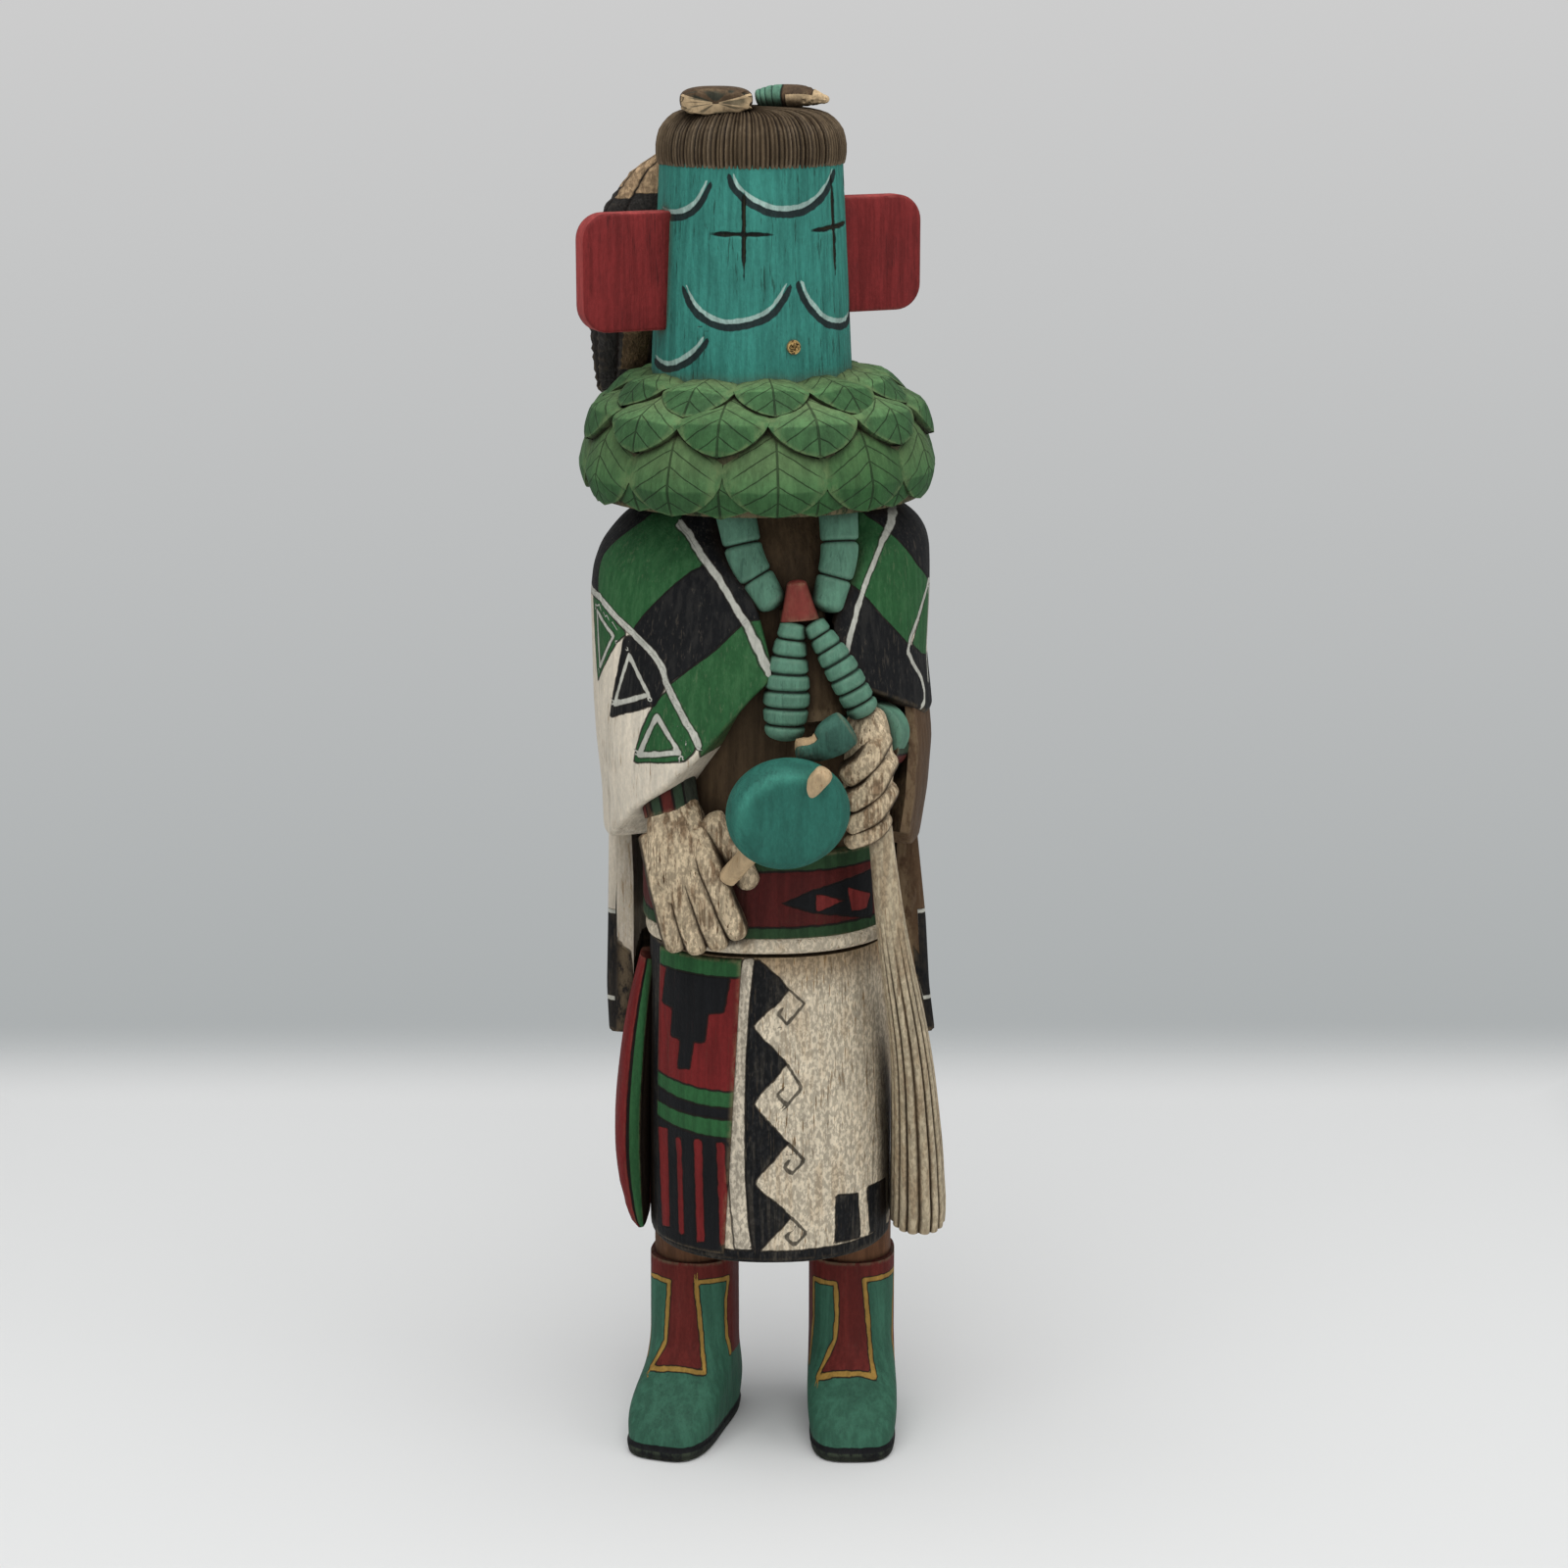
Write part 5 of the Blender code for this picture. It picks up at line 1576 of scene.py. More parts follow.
@dataclass
class Trunk(Carved):
    """Kilt, rolled cord, belt and chest."""

    kilt: Form = Form(((61.5, 0, 34.2, 32.4, 30.2), (100, 0, 34.3, 33.1, 31.1), (152, -0.6, 33.2, 31.6, 30.6)))
    belt: Form = Form(((155, -0.8, 34.9, 33.6, 32.4), (181, -1, 34.6, 33.2, 32)))
    chest: Form = Form(((178, -1, 32.4, 30.4, 30), (205, -1.6, 33, 28.6, 29), (240, -2.5, 34, 27.6, 29),
                        (258, -3, 33, 25, 27), (270, -3.3, 27, 20, 22), (288, -3.8, 20, 18, 18)),
                       blend=4)
    hem: float = 61.5
    belt_foot: float = 156.6
    belt_top: float = 179.0
    roll: tuple[float, float] = (151.4, 156.2)
    roll_rise: float = 1.1

    def build(self) -> list[Piece]:
        """Makes the trunk's forms."""
        return [self.build_kilt(), self.build_roll(), self.build_belt(), self.build_chest()]

    def build_kilt(self) -> Piece:
        """Makes the kilt with its painted front.

        Returns:
            The kilt.
        """
        turns = spread((-180, 7), (-84, 3), (-60, 1.7), (76, 3), (90, 7), (180, 1))
        heights = np.r_[self.hem + 0.6, self.hem, spread((self.hem + 0.3, 0.3), (self.hem + 1.2, 1.02),
                (150, 1))]
        heights[0] = self.hem - 1.0

        def drop(height: Array) -> tuple[Array, Array]:
            """Rounds the hem and turns the skin in under it.

            Args:
                height: the heights.

            Returns:
                The height and the lift.
            """
            under = height < self.hem
            level = np.where(under, self.hem + 1.2, height)
            lift = np.where(under, -9.0, -0.9 * (1.0 - eased(height, self.hem, self.hem + 1.3)))
            return level, lift

        def place(turn: Array, height: Array) -> Array:
            """Lays the grid on the kilt, with the soft lie of its cloth.

            Args:
                turn: the turns.
                height: the heights.

            Returns:
                The points.
            """
            level, lift = drop(height)
            wave = 0.35 * np.sin(np.radians(turn) * 7.0 + 0.6) * eased(-height, -130, -70)
            return self.kilt.point(turn, level, lift + wave * (np.abs(turn) > 78.0))

        def fields(turn: Array, height: Array) -> Fields:
            """Measures the painted marks, and the browning under the belt: stain, with painted shade under its
            overhang.

            Args:
                turn: the turns.
                height: the heights.

            Returns:
                The attributes.
            """
            level, _ = drop(height)
            # browner under the belt, partly stain and partly painted shade under its overhang, and round the
            # doll's left side
            side = eased(turn, 52, 80) * eased(-turn, -150, -110)
            dirt_and_shade = 0.7 * eased(height, 134, 151) + 0.5 * side
            return {**KILT_MARKS.fields(turn, level), "shade": dirt_and_shade}

        return skin("kilt", turns, heights, place, self.paints["kilt_paint"], fields)

    def build_roll(self) -> Piece:
        """Makes the cord that is rolled over below the belt.

        Returns:
            The cord.
        """
        low, high = self.roll

        def place(turn: Array, share: Array) -> Array:
            """Lays the grid on the roll.

            Args:
                turn: the turns.
                share: shares of the height.

            Returns:
                The points.
            """
            bulge = np.sin(np.pi * np.clip(share, 0, 1)) ** 0.6
            inner = (share < 0.0) | (share > 1.0)
            swell = (1.0 + 0.12 * np.sin(np.radians(turn) * 9.0)) * (1.0 - eased(np.abs(turn), 58, 80))
            lift = np.where(inner, -6.0, -0.8 + (self.roll_rise + 1.2) * bulge * swell)
            return self.belt.point(turn, low + (high - low) * np.clip(share, 0, 1), lift)

        shares = np.r_[-0.1, np.linspace(0, 1, 11), 1.1]
        return skin("roll", spread((-180, 3), (180, 1)), shares, place, self.paints["cord_paint"])

    def build_belt(self) -> Piece:
        """Makes the painted belt.

        Returns:
            The belt.
        """
        turns = spread((-180, 6), (-70, 1.7), (64, 3), (90, 6), (180, 1))
        heights = np.r_[155.0, spread((self.belt_foot - 1.2, 0.8), (self.belt_top, 1)), 179.4, 179.3]

        def place(turn: Array, height: Array) -> Array:
            """Lays the grid on the belt, turned in at both edges.

            Args:
                turn: the turns.
                height: the heights.

            Returns:
                The points.
            """
            lift = np.select([height <= 155.0, height == 179.4, height == 179.3], [-6.0, -0.8, -6.0], 0.0)
            for line in (174.4, 159.1):  # the scored lines along the belt
                lift = lift - 0.45 * np.exp(-((height - line) / 0.5) ** 2)
            return self.belt.point(turn, height, lift)

        return skin("belt", turns, heights, place, self.paints["belt_paint"], BELT_MARKS.fields)

    def build_chest(self) -> Piece:
        """Makes the bare chest and neck."""
        return skin("chest", spread((-180, 5), (180, 1)), spread((178, 3), (288, 1)), self.chest.point,
                    self.paints["skin_paint"])


@dataclass
class Arms(Carved):
    """Both arms: the right one with its open hand on the belt, the left one with its closed hand."""

    right_forearm: Limb = Limb((((-31, -22, 214), 8.6, 8.4), ((-26.4, -29.4, 190), 7.6, 6)))
    right_palm: Limb = Limb((((-26, -28.6, 194.6), 6, 4.8), ((-25.8, -31, 187.6), 7.8, 5.6),
                             ((-22.8, -32.4, 178), 10.6, 5.6), ((-20.4, -33, 166), 9.4, 4.4)), 2.5, 1.6, 3)
    right_thumb: Limb = Limb((((-17.4, -32, 190), 4.4, 4), ((-9.8, -33.4, 180), 3.8, 3.6),
                              ((-5, -34, 170.2), 3.1, 3.2)), 2.2, 2, 2.6)
    knuckles: Spots = ((-31, 177.5), (-26.8, 177.2), (-22.4, 178.6), (-17.6, 180.6))
    tips: Spots = ((-25.4, 151.9), (-19.4, 151.7), (-13.4, 153.3), (-8.2, 156.9))
    finger_y: float = -31.6
    finger_step: float = -1.5
    finger: tuple[float, float] = (3.6, 4)
    left_forearm: Limb = Limb((((32, -14, 206), 7.5, 7.5), ((27, -32, 210), 6.6, 7.6)))
    left_cuff: Limb = Limb((((29.6, -24, 212), 7.8, 8.6), ((26.8, -32, 213), 7.6, 8.4)), 2, 1, 1)
    left_fist: Limb = Limb((((25, -33, 220.4), 4.4, 4.6), ((26.2, -35, 212), 6.4, 7),
                            ((26.2, -35.4, 201), 6.7, 7.2), ((25.4, -34.6, 189.5), 6.2, 6.4),
                            ((24.6, -33.4, 183.6), 4, 4.4)), 2, 3, 3)
    left_fingers: Sequence = (
        ((28.8, 212.2), (24.6, 206.4), (18.8, 202.2), 3.8), ((30.6, 206.2), (26.6, 199.6), (19.6, 195.2), 3.7),
        ((31, 198.2), (27, 192.8), (19.6, 189), 3.4), ((30, 190), (26, 186.8), (19.6, 184.8), 2.7),
    )
    left_finger_y: tuple[float, ...] = (-34.6, -39.4, -41, -39.6)

    def build(self) -> list[Piece]:
        """Makes both arms.

        Returns:
            The forms.
        """
        paint = self.paints["hand_paint"]
        forms = [
            self.right_forearm.build("right_forearm", self.paints["cuff_paint"], 72, 1.4, None,
                                     self.cuff_fields),
            self.right_palm.build("right_palm", paint, 28, 1.2, self.knife_cuts, self.no_groove),
            self.right_thumb.build("right_thumb", paint, 20, 1.2, self.knife_cuts, self.no_groove),
            self.left_forearm.build("left_forearm", self.paints["cuff_paint"], 32, 1.6, None, self.cuff_fields),
            self.left_cuff.build("left_cuff", self.paints["stone_paint"], 32, 1.2, None, self.no_groove),
            self.left_fist.build("left_fist", paint, 28, 1.2, self.knife_cuts, self.no_groove),
        ]
        wide, deep = self.finger
        for index, (start, end) in enumerate(zip(self.knuckles, self.tips)):
            y = self.finger_y + self.finger_step * index
            path = []
            for along, rise, size in ((-0.28, 3.4, 0.9), (0.0, 1.2, 1.0), (0.3, -0.7, 1.0), (0.5, -1.1, 0.96),
                                      (0.75, -0.9, 0.98), (1.0, 0.2, 0.84)):
                x = start[0] + (end[0] - start[0]) * along
                height = start[1] + (end[1] - start[1]) * along
                path.append(((x, y + rise, height), wide * size, deep * size))
            forms.append(Limb(tuple(path), 2.5, 1.5, 2.8).build(
                f"right_finger_{index}", paint, 20, 1.2, self.knife_cuts, self.side_grooves))
        for index, (knuckle, bend, tip, thick) in enumerate(self.left_fingers):
            joint = (knuckle[0] - 0.25 * thick, knuckle[1] - 0.33 * thick)
            path = []
            for (x, height), y in zip((knuckle, joint, bend, tip), self.left_finger_y):
                path.append(((x, y, height), 0.94 * thick, thick))
            forms.append(Limb(tuple(path), 2.3, 1.5, 2.4).build(
                f"left_finger_{index}", paint, 20, 1.1, self.knife_cuts, self.side_grooves))
        return forms

    def knife_cuts(self, turns: Array, along: Array) -> Array:
        """Gives the shallow facets that the knife left along a limb."""
        facets = 0.025 * np.sin(np.radians(turns) * 5.0 + 3.0 * along)
        return 1.0 + facets + 0.02 * np.sin(17.0 * along + turns * 0.04)

    def no_groove(self, turns: Array, along: Array) -> Fields:
        """Marks no grooves."""
        return {"groove": np.zeros(len(turns))}

    def side_grooves(self, turns: Array, along: Array) -> Fields:
        """Darkens the sides of a finger, where it lies in the groove between two."""
        front = np.cos(np.radians(turns))
        return {"groove": 0.9 * eased(np.abs(front), 0.62, 0.86)}

    def cuff_fields(self, turns: Array, along: Array) -> Fields:
        """Marks the lengthwise stripes of the arm's wrap.

        Args:
            turns: the turns.
            along: shares along.

        Returns:
            The attributes.
        """
        found = {}
        for name, middles in (("green", (62.0, 112.0)), ("red", (87.0, 20.0)),
                              ("grey", (138.0, 160.0, -100.0))):
            half = 13.0
            gaps = [half - np.abs((turns - middle + 180.0) % 360.0 - 180.0) for middle in middles]
            found[f"area_{name}"] = 0.15 * np.max(gaps, 0)
        return found


@dataclass
class Necklace(Carved):
    """Two strands of big stones, the red bead and the two ribbed tails."""

    right_strand: Limb = Limb((((-9.5, -25.5, 272), 5.3, 4.4), ((-6.6, -28.6, 259), 5, 4.4),
                               ((1.4, -31.4, 246.4), 4, 4.2)), 2.3, 0, 2.4)
    left_strand: Limb = Limb((((17.8, -25.5, 273), 5.2, 4.4), ((18.4, -28.6, 260), 5, 4.4),
                              ((14.4, -31.4, 245.4), 4.2, 4.2)), 2.3, 0, 2.4)
    right_tail: Limb = Limb((((6, -34, 243.5), 3.2, 5.8), ((4.6, -35.4, 232), 5.4, 5.8),
                             ((4.2, -36.2, 223), 6.5, 5.8), ((3.5, -37, 211.8), 4.9, 5.6)), 2.4, 1, 2.6)
    left_tail: Limb = Limb((((11, -34, 243.5), 2.9, 5.8), ((18.6, -36.2, 231.4), 4.6, 5.8),
                            ((25.4, -37.4, 218.6), 4.3, 5.6)), 2.4, 1, 2.6)
    bead: Limb = Limb((((6.8, -32, 254.2), 2.4, 4), ((7.8, -33, 243.2), 5.3, 4.4)), 3, 1, 0.6)
    block: Limb = Limb((((8, -26, 246), 6, 5), ((12, -28, 216), 9, 6.4)))
    stones: int = 3
    ribs: int = 7
    pinch: float = 0.2

    def build(self) -> list[Piece]:
        """Makes the necklace.

        Returns:
            The forms.
        """
        forms = [self.strand(name, limb, count, self.paints["stone_paint"]) for name, limb, count in (
            ("right_strand", self.right_strand, self.stones), ("left_strand", self.left_strand, self.stones),
            ("right_tail", self.right_tail, self.ribs), ("left_tail", self.left_tail, self.ribs))]
        forms.append(self.bead.build("red_bead", self.paints["bead_paint"], 20, 1.2))
        forms.append(self.block.build("tail_block", self.paints["skin_paint"], 16, 3.0))
        return forms

    def strand(self, name: str, limb: Limb, count: int, paint: Finish) -> Piece:
        """Makes one string of stones or one ribbed tail.

        Args:
            name: its name.
            limb: its form.
            count: its stones or ribs.
            paint: its finish.

        Returns:
            The string.
        """
        narrow = 9.0 if count == self.stones else 4.2

        def tight(along: Array) -> Array:
            """Gives how close each point is to a joint between two stones."""
            phase = along * count % 1.0
            return np.clip(1.0 - np.minimum(phase, 1.0 - phase) * narrow, 0, 1)

        def fields(turns: Array, along: Array) -> Fields:
            """Darkens the joints."""
            inner = (along > 0.03) & (along < 0.97)
            return {"groove": np.where(inner, eased(tight(along), 0.45, 0.95), 0.0)}

        return limb.build(name, paint, 22, 0.42, lambda turns, along: 1.0 - self.pinch * tight(along) ** 1.5,
                          fields)


@dataclass
class Hangings(Carved):
    """The front sash panel, the side sash and the pleated fringe."""

    panel_top: float = 149.6
    panel_foot: float = 63.9
    upper_x: tuple[float, float] = (-29.8, -7.9)
    lower_x: tuple[float, float] = (-31.4, -13)
    panel_lift: float = 1.2
    panel_depth: float = 4.0
    side_sash: Limb = Limb((((-33.8, -1, 142), 2.8, 7), ((-36.8, -2, 124), 4.4, 9),
                            ((-39.2, -2, 96), 5.4, 10.4), ((-38.8, -2, 76), 5, 10),
                            ((-37.6, -2, 66), 3.4, 8.6), ((-36.8, -2, 63), 1.6, 7)), 2.6)
    fringe: Limb = Limb((((29, -34, 190), 3.2, 4), ((30.8, -34.2, 172), 3.6, 4.2), ((33.6, -31, 150), 4.4, 5.6),
                         ((38.4, -25, 126), 5.4, 8.6), ((40.4, -17, 100), 6.8, 11.6),
                         ((41.6, -11, 76), 8.1, 13.4), ((41.3, -10, 66.4), 7.9, 13)), 2.4, 3, 1.2)
    cords: int = 16
    cord_depth: float = 0.1

    def build(self, kilt: Form) -> list[Piece]:
        """Makes the hangings."""
        return [self.panel(kilt), self.sash(), self.cord_fringe()]

    def panel(self, kilt: Form) -> Piece:
        """Makes the front panel on the kilt.

        Args:
            kilt: the form that it lies on.

        Returns:
            The panel.
        """
        upper = [kilt.turn_at(x, self.panel_top) for x in self.upper_x]
        lower = [kilt.turn_at(x, self.panel_foot) for x in self.lower_x]
        sides = np.r_[0.0, 0.006, 0.018, np.linspace(0.045, 0.955, 30), 0.982, 0.994, 1.0]
        rows = np.r_[0.0, 0.004, 0.012, np.linspace(0.02, 0.98, 84), 0.99, 0.996, 1.0, 1.0001, 1.5, 2.0]

        def spots(side: Array, row: Array) -> tuple[Array, Array]:
            """Gives each point's turn and height.

            Args:
                side: shares across.
                row: the rows.

            Returns:
                Turns and heights.
            """
            share = np.clip(np.where(row > 1.0, 2.0 - row, row), 0, 1)
            low = upper[0] + (lower[0] - upper[0]) * share
            high = upper[1] + (lower[1] - upper[1]) * share
            return low + (high - low) * side, self.panel_top + (self.panel_foot - self.panel_top) * share

        def place(side: Array, row: Array) -> Array:
            """Lays the grid on the kilt.

            Args:
                side: shares across.
                row: the rows.

            Returns:
                The points.
            """
            turn, height = spots(side, row)
            beside = np.minimum(side, 1.0 - side) * 26.0
            ends = np.minimum(self.panel_top - height, height - self.panel_foot)
            fall = np.maximum(edge_drop(beside, 0.9), edge_drop(ends, 0.9))
            return kilt.point(turn, height, np.where(row > 1.0, -self.panel_depth, self.panel_lift - fall))

        return skin("panel", sides, rows, place, self.paints["panel_paint"],
                    lambda side, row: PANEL_MARKS.fields(*spots(side, row)))

    def sash(self) -> Piece:
        """Makes the side sash, with its red face, green ridge, and a painted shadow in the dark hollow on its
        side towards the kilt.

        Returns:
            The sash.
        """
        def reach(turns: Array, along: Array) -> Array:
            """Hollows the strip between the ridge and the edge."""
            return 1.0 - 0.12 * eased(turns, 108, 118) - 0.05 * np.exp(-((turns - 79.0) / 3.0) ** 2)

        def fields(turns: Array, along: Array) -> Fields:
            """Marks the painted strips by their turn round the sash.

            Args:
                turns: the turns.
                along: shares along.

            Returns:
                The attributes.
            """
            green = 0.16 * (14.0 - np.abs(turns - 95.0))
            # painted shadow: the broad black covers the sash's side towards the kilt, in the recess
            black = 0.16 * np.maximum(40.0 - np.abs(turns - 150.0), 3.0 - np.abs(turns - 79.0))
            return {"area_green": green, "area_black": black}

        return self.side_sash.build("side_sash", self.paints["side_paint"], 72, 2.2, reach, fields)

    def cord_fringe(self) -> Piece:
        """Makes the fringe, whose cords fan out towards its hem.

        Returns:
            The fringe.
        """
        def reach(turns: Array, along: Array) -> Array:
            """Cuts the grooves."""
            return 1.0 - self.cord_depth * valleys(turns, self.cords, 1.6) * eased(along, 0.08, 0.4)

        def fields(turns: Array, along: Array) -> Fields:
            """Darkens the grooves."""
            return {"groove": eased(valleys(turns, self.cords, 1.6), 0.15, 0.85) * eased(along, 0.08, 0.45)}

        return self.fringe.build("fringe", self.paints["fringe_paint"], 128, 4.0, reach, fields)


@dataclass
class Boots(Carved):
    """Both boots and the legs that run up into the kilt."""

    rows: Sequence[tuple[float, ...]] = (
        (0, 11.8, 16.6, 33), (2.9, 12.1, 17, 33.4), (3.3, 11.8, 16.6, 32.6), (8.5, 12.5, 16.4, 31),
        (14, 12.7, 16, 25.5), (19, 12.5, 15.4, 18.6), (28, 12.3, 15, 13.8), (52, 12.3, 14, 12.2),
    )
    places: Sequence[Point] = ((-22.2, -12, -6), (23.2, 0, 0))
    shank_y: float = 3.0
    top: float = 52.0
    sole: float = 4.4  # how high the black sole reaches
    millimetres: float = 0.24
    leg_radius: float = 11.2

    def build(self) -> list[Piece]:
        """Makes both boots and legs.

        Returns:
            The forms.
        """
        forms = []
        lines = (BOOT_LINE_RIGHT, BOOT_LINE_LEFT)
        for side, line, (x, splay, toe) in zip(("right", "left"), lines, self.places):
            forms.append(self.boot(f"{side}_boot", x, splay, toe, line))
            leg = Limb((((x, self.shank_y, 40.0), self.leg_radius, self.leg_radius),
                        ((x, self.shank_y, 73.5), self.leg_radius, self.leg_radius)))
            forms.append(leg.build(f"{side}_leg", self.paints["leg_paint"], 32, 3.0))
        return forms

    def boot(self, name: str, x: float, splay: float, toe_turn: float, line: Spots) -> Piece:
        """Makes one painted boot.

        Args:
            name: its name.
            x: the middle of its shank.
            splay: how far it turns out, in degrees.
            toe_turn: how much further its foot turns than its shank.
            line: the course of its ochre line.

        Returns:
            The boot.
        """
        table = np.array(self.rows)
        turns = spread((-180, 9), (-110, 2.9), (110, 9), (180, 1))
        heights = np.r_[0.0, 0.5, 1.6, 2.7, 3.0, 3.25, 3.6, spread((self.sole, 0.95), (self.top, 1)),
                        self.top + 0.01]
        teal = ((-180, -4), (-180, 18.5), *line, (180, 18.5), (180, -4))
        pattern = Pattern(self.millimetres, {"teal": (teal,)}, {"ochre": (Stroke(line, 0.62),)})

        def place(turn: Array, height: Array) -> Array:
            """Lays the grid on the boot.

            Args:
                turn: the turns.
                height: the heights.

            Returns:
                The points.
            """
            blend = np.where(height > 4.5, 1.6, 0.0)
            sizes = []
            for column in table.T[1:]:
                parts = [np.interp(height + blend * step, table[:, 0], column) for step in STEPS]
                sizes.append(sum(parts) / 5.0)
            half, heel, toe = sizes
            fall = edge_drop(height, 0.9) + np.where(height > self.top, 1.2, 0.0)
            foot = eased(-height, -26, -10)
            side, ahead = oval(turn, 2.5 + 0.9 * foot)
            across = (half - fall) * side * (1.0 + 0.08 * foot * np.maximum(ahead, 0))
            back = (heel - toe) / 2.0 - ((heel + toe) / 2.0 - fall) * ahead
            angle = np.radians(splay + toe_turn * foot)
            return np.stack([x + across * np.cos(angle) - back * np.sin(angle),
                             self.shank_y + across * np.sin(angle) + back * np.cos(angle),
                             np.minimum(height, self.top)], -1)

        def fields(turn: Array, height: Array) -> Fields:
            """Measures the painted marks."""
            found = pattern.fields(turn, height)
            return {"area_red": -found.pop("area_teal"), "area_sole": self.sole - height, **found}

        return skin(name, turns, heights, place, self.paints["boot_paint"], fields)


@dataclass
class Figure:
    """The one large carving, joined from its forms."""

    head: Head
    ruff: Ruff
    cape: Cape
    trunk: Trunk
    arms: Arms
    necklace: Necklace
    hangings: Hangings
    boots: Boots

    def build(self) -> Piece:
        """Makes every form and joins them, because one block of wood holds them all.

        Returns:
            The carving.
        """
        forms = [*self.trunk.build(), *self.head.build(), *self.ruff.build(), *self.cape.build(),
                 *self.arms.build(), *self.necklace.build(), *self.hangings.build(self.trunk.kilt),
                 *self.boots.build()]
        for form in forms:
            form.data.calc_loop_triangles()
            LOG.info("form %s: %d triangles", form.name, len(form.data.loop_triangles))
        names = {attribute.name for form in forms for attribute in form.data.attributes
                 if attribute.domain == "POINT" and attribute.data_type == "FLOAT"}
        for form in forms:
            for name in names - {attribute.name for attribute in form.data.attributes}:
                blank = AWAY if name.startswith(("area_", "half_")) else 0.0
                values = np.full(len(form.data.vertices), blank)
                form.data.attributes.new(name, "FLOAT", "POINT").data.foreach_set("value", values)
        bpy.ops.object.select_all(action="DESELECT")
        for form in forms:
            form.select_set(True)
        bpy.context.view_layer.objects.active = forms[0]
        bpy.ops.object.join()
        carving = bpy.context.view_layer.objects.active
        carving.name = carving.data.name = "figure_carving"
        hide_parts("figure")
        return settled(carving)


def settled(piece: Piece) -> Piece:
    """Fixes a finished piece to the doll.

    Args:
        piece: the piece.

    Returns:
        The piece.
    """
    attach(piece, "root")
    piece.data.calc_loop_triangles()
    LOG.info("piece %s: %d triangles", piece.name, len(piece.data.loop_triangles))
    return piece


@dataclass
class Ears(Carved):
    """The two flat ears, let into the mask."""

    thick: float = 6.5
    height: float = 31.0
    corner: float = 7.0
    length: float = 27.5
    inner: float = 21.7
    middle: float = 333.2
    edge: float = 1.0
    raised: float = 2.2  # how much higher the left one sits

    def build(self) -> None:
        """Makes both ears."""
        for name, side in (("right", -1.0), ("left", 1.0)):
            piece = self.ear(f"ear_{name}_board", side, self.paints["ear_paint"])
            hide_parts(f"ear_{name}")
            settled(piece)

    def ear(self, name: str, side: float, paint: Finish) -> Piece:
        """Shapes one ear from a block: rounded outer corners, then softened edges.

        Args:
            name: its name.
            side: -1 for the doll's right, 1 for its left.
            paint: its finish.

        Returns:
            The ear.
        """
        form = bmesh.new()
        bmesh.ops.create_cube(form, size=1.0)
        bmesh.ops.scale(form, vec=(self.length, self.thick, self.height), verts=form.verts)
        bmesh.ops.translate(form, vec=(self.inner + self.length / 2.0, 0.0, 0.0), verts=form.verts)
        far = self.inner + self.length
        corners = [edge for edge in form.edges
                   if all(abs(vert.co.x - far) < 0.01 for vert in edge.verts)
                   and abs(edge.verts[0].co.y - edge.verts[1].co.y) > 1.0]
        bmesh.ops.bevel(form, geom=corners, offset=self.corner, affect="EDGES", segments=9, profile=0.5,
                        material=-1)
        rim = [edge for edge in form.edges if len(edge.link_faces) == 2 and edge.calc_face_angle() > 0.7]
        bmesh.ops.bevel(form, geom=rim, offset=self.edge, affect="EDGES", segments=3, profile=0.5, material=-1)
        bmesh.ops.triangulate(form, faces=[face for face in form.faces if len(face.verts) > 4])
        bmesh.ops.subdivide_edges(form, edges=[edge for edge in form.edges if edge.calc_length() > 9.0], cuts=3,
                                  use_grid_fill=True)
        # painted highlight: the end, top and bottom faces are marked for a lighter red
        highlight_faces = [float(abs(vert.co.y) < (self.thick - self.edge) / 2.0) for vert in form.verts]
        for vert in form.verts:
            x, y, z = vert.co
            level = self.middle + z + self.raised * (side > 0.0)
            vert.co = from_head(np.array(side * x), np.array(y), np.array(level)) * MM
            vert.co.y += BODY_Y
        bmesh.ops.recalc_face_normals(form, faces=form.faces)
        mesh = bpy.data.meshes.new(name)
        form.to_mesh(mesh)
        form.free()
        mesh.attributes.new("rim", "FLOAT", "POINT").data.foreach_set("value", highlight_faces)
        return shown(name, mesh, paint)


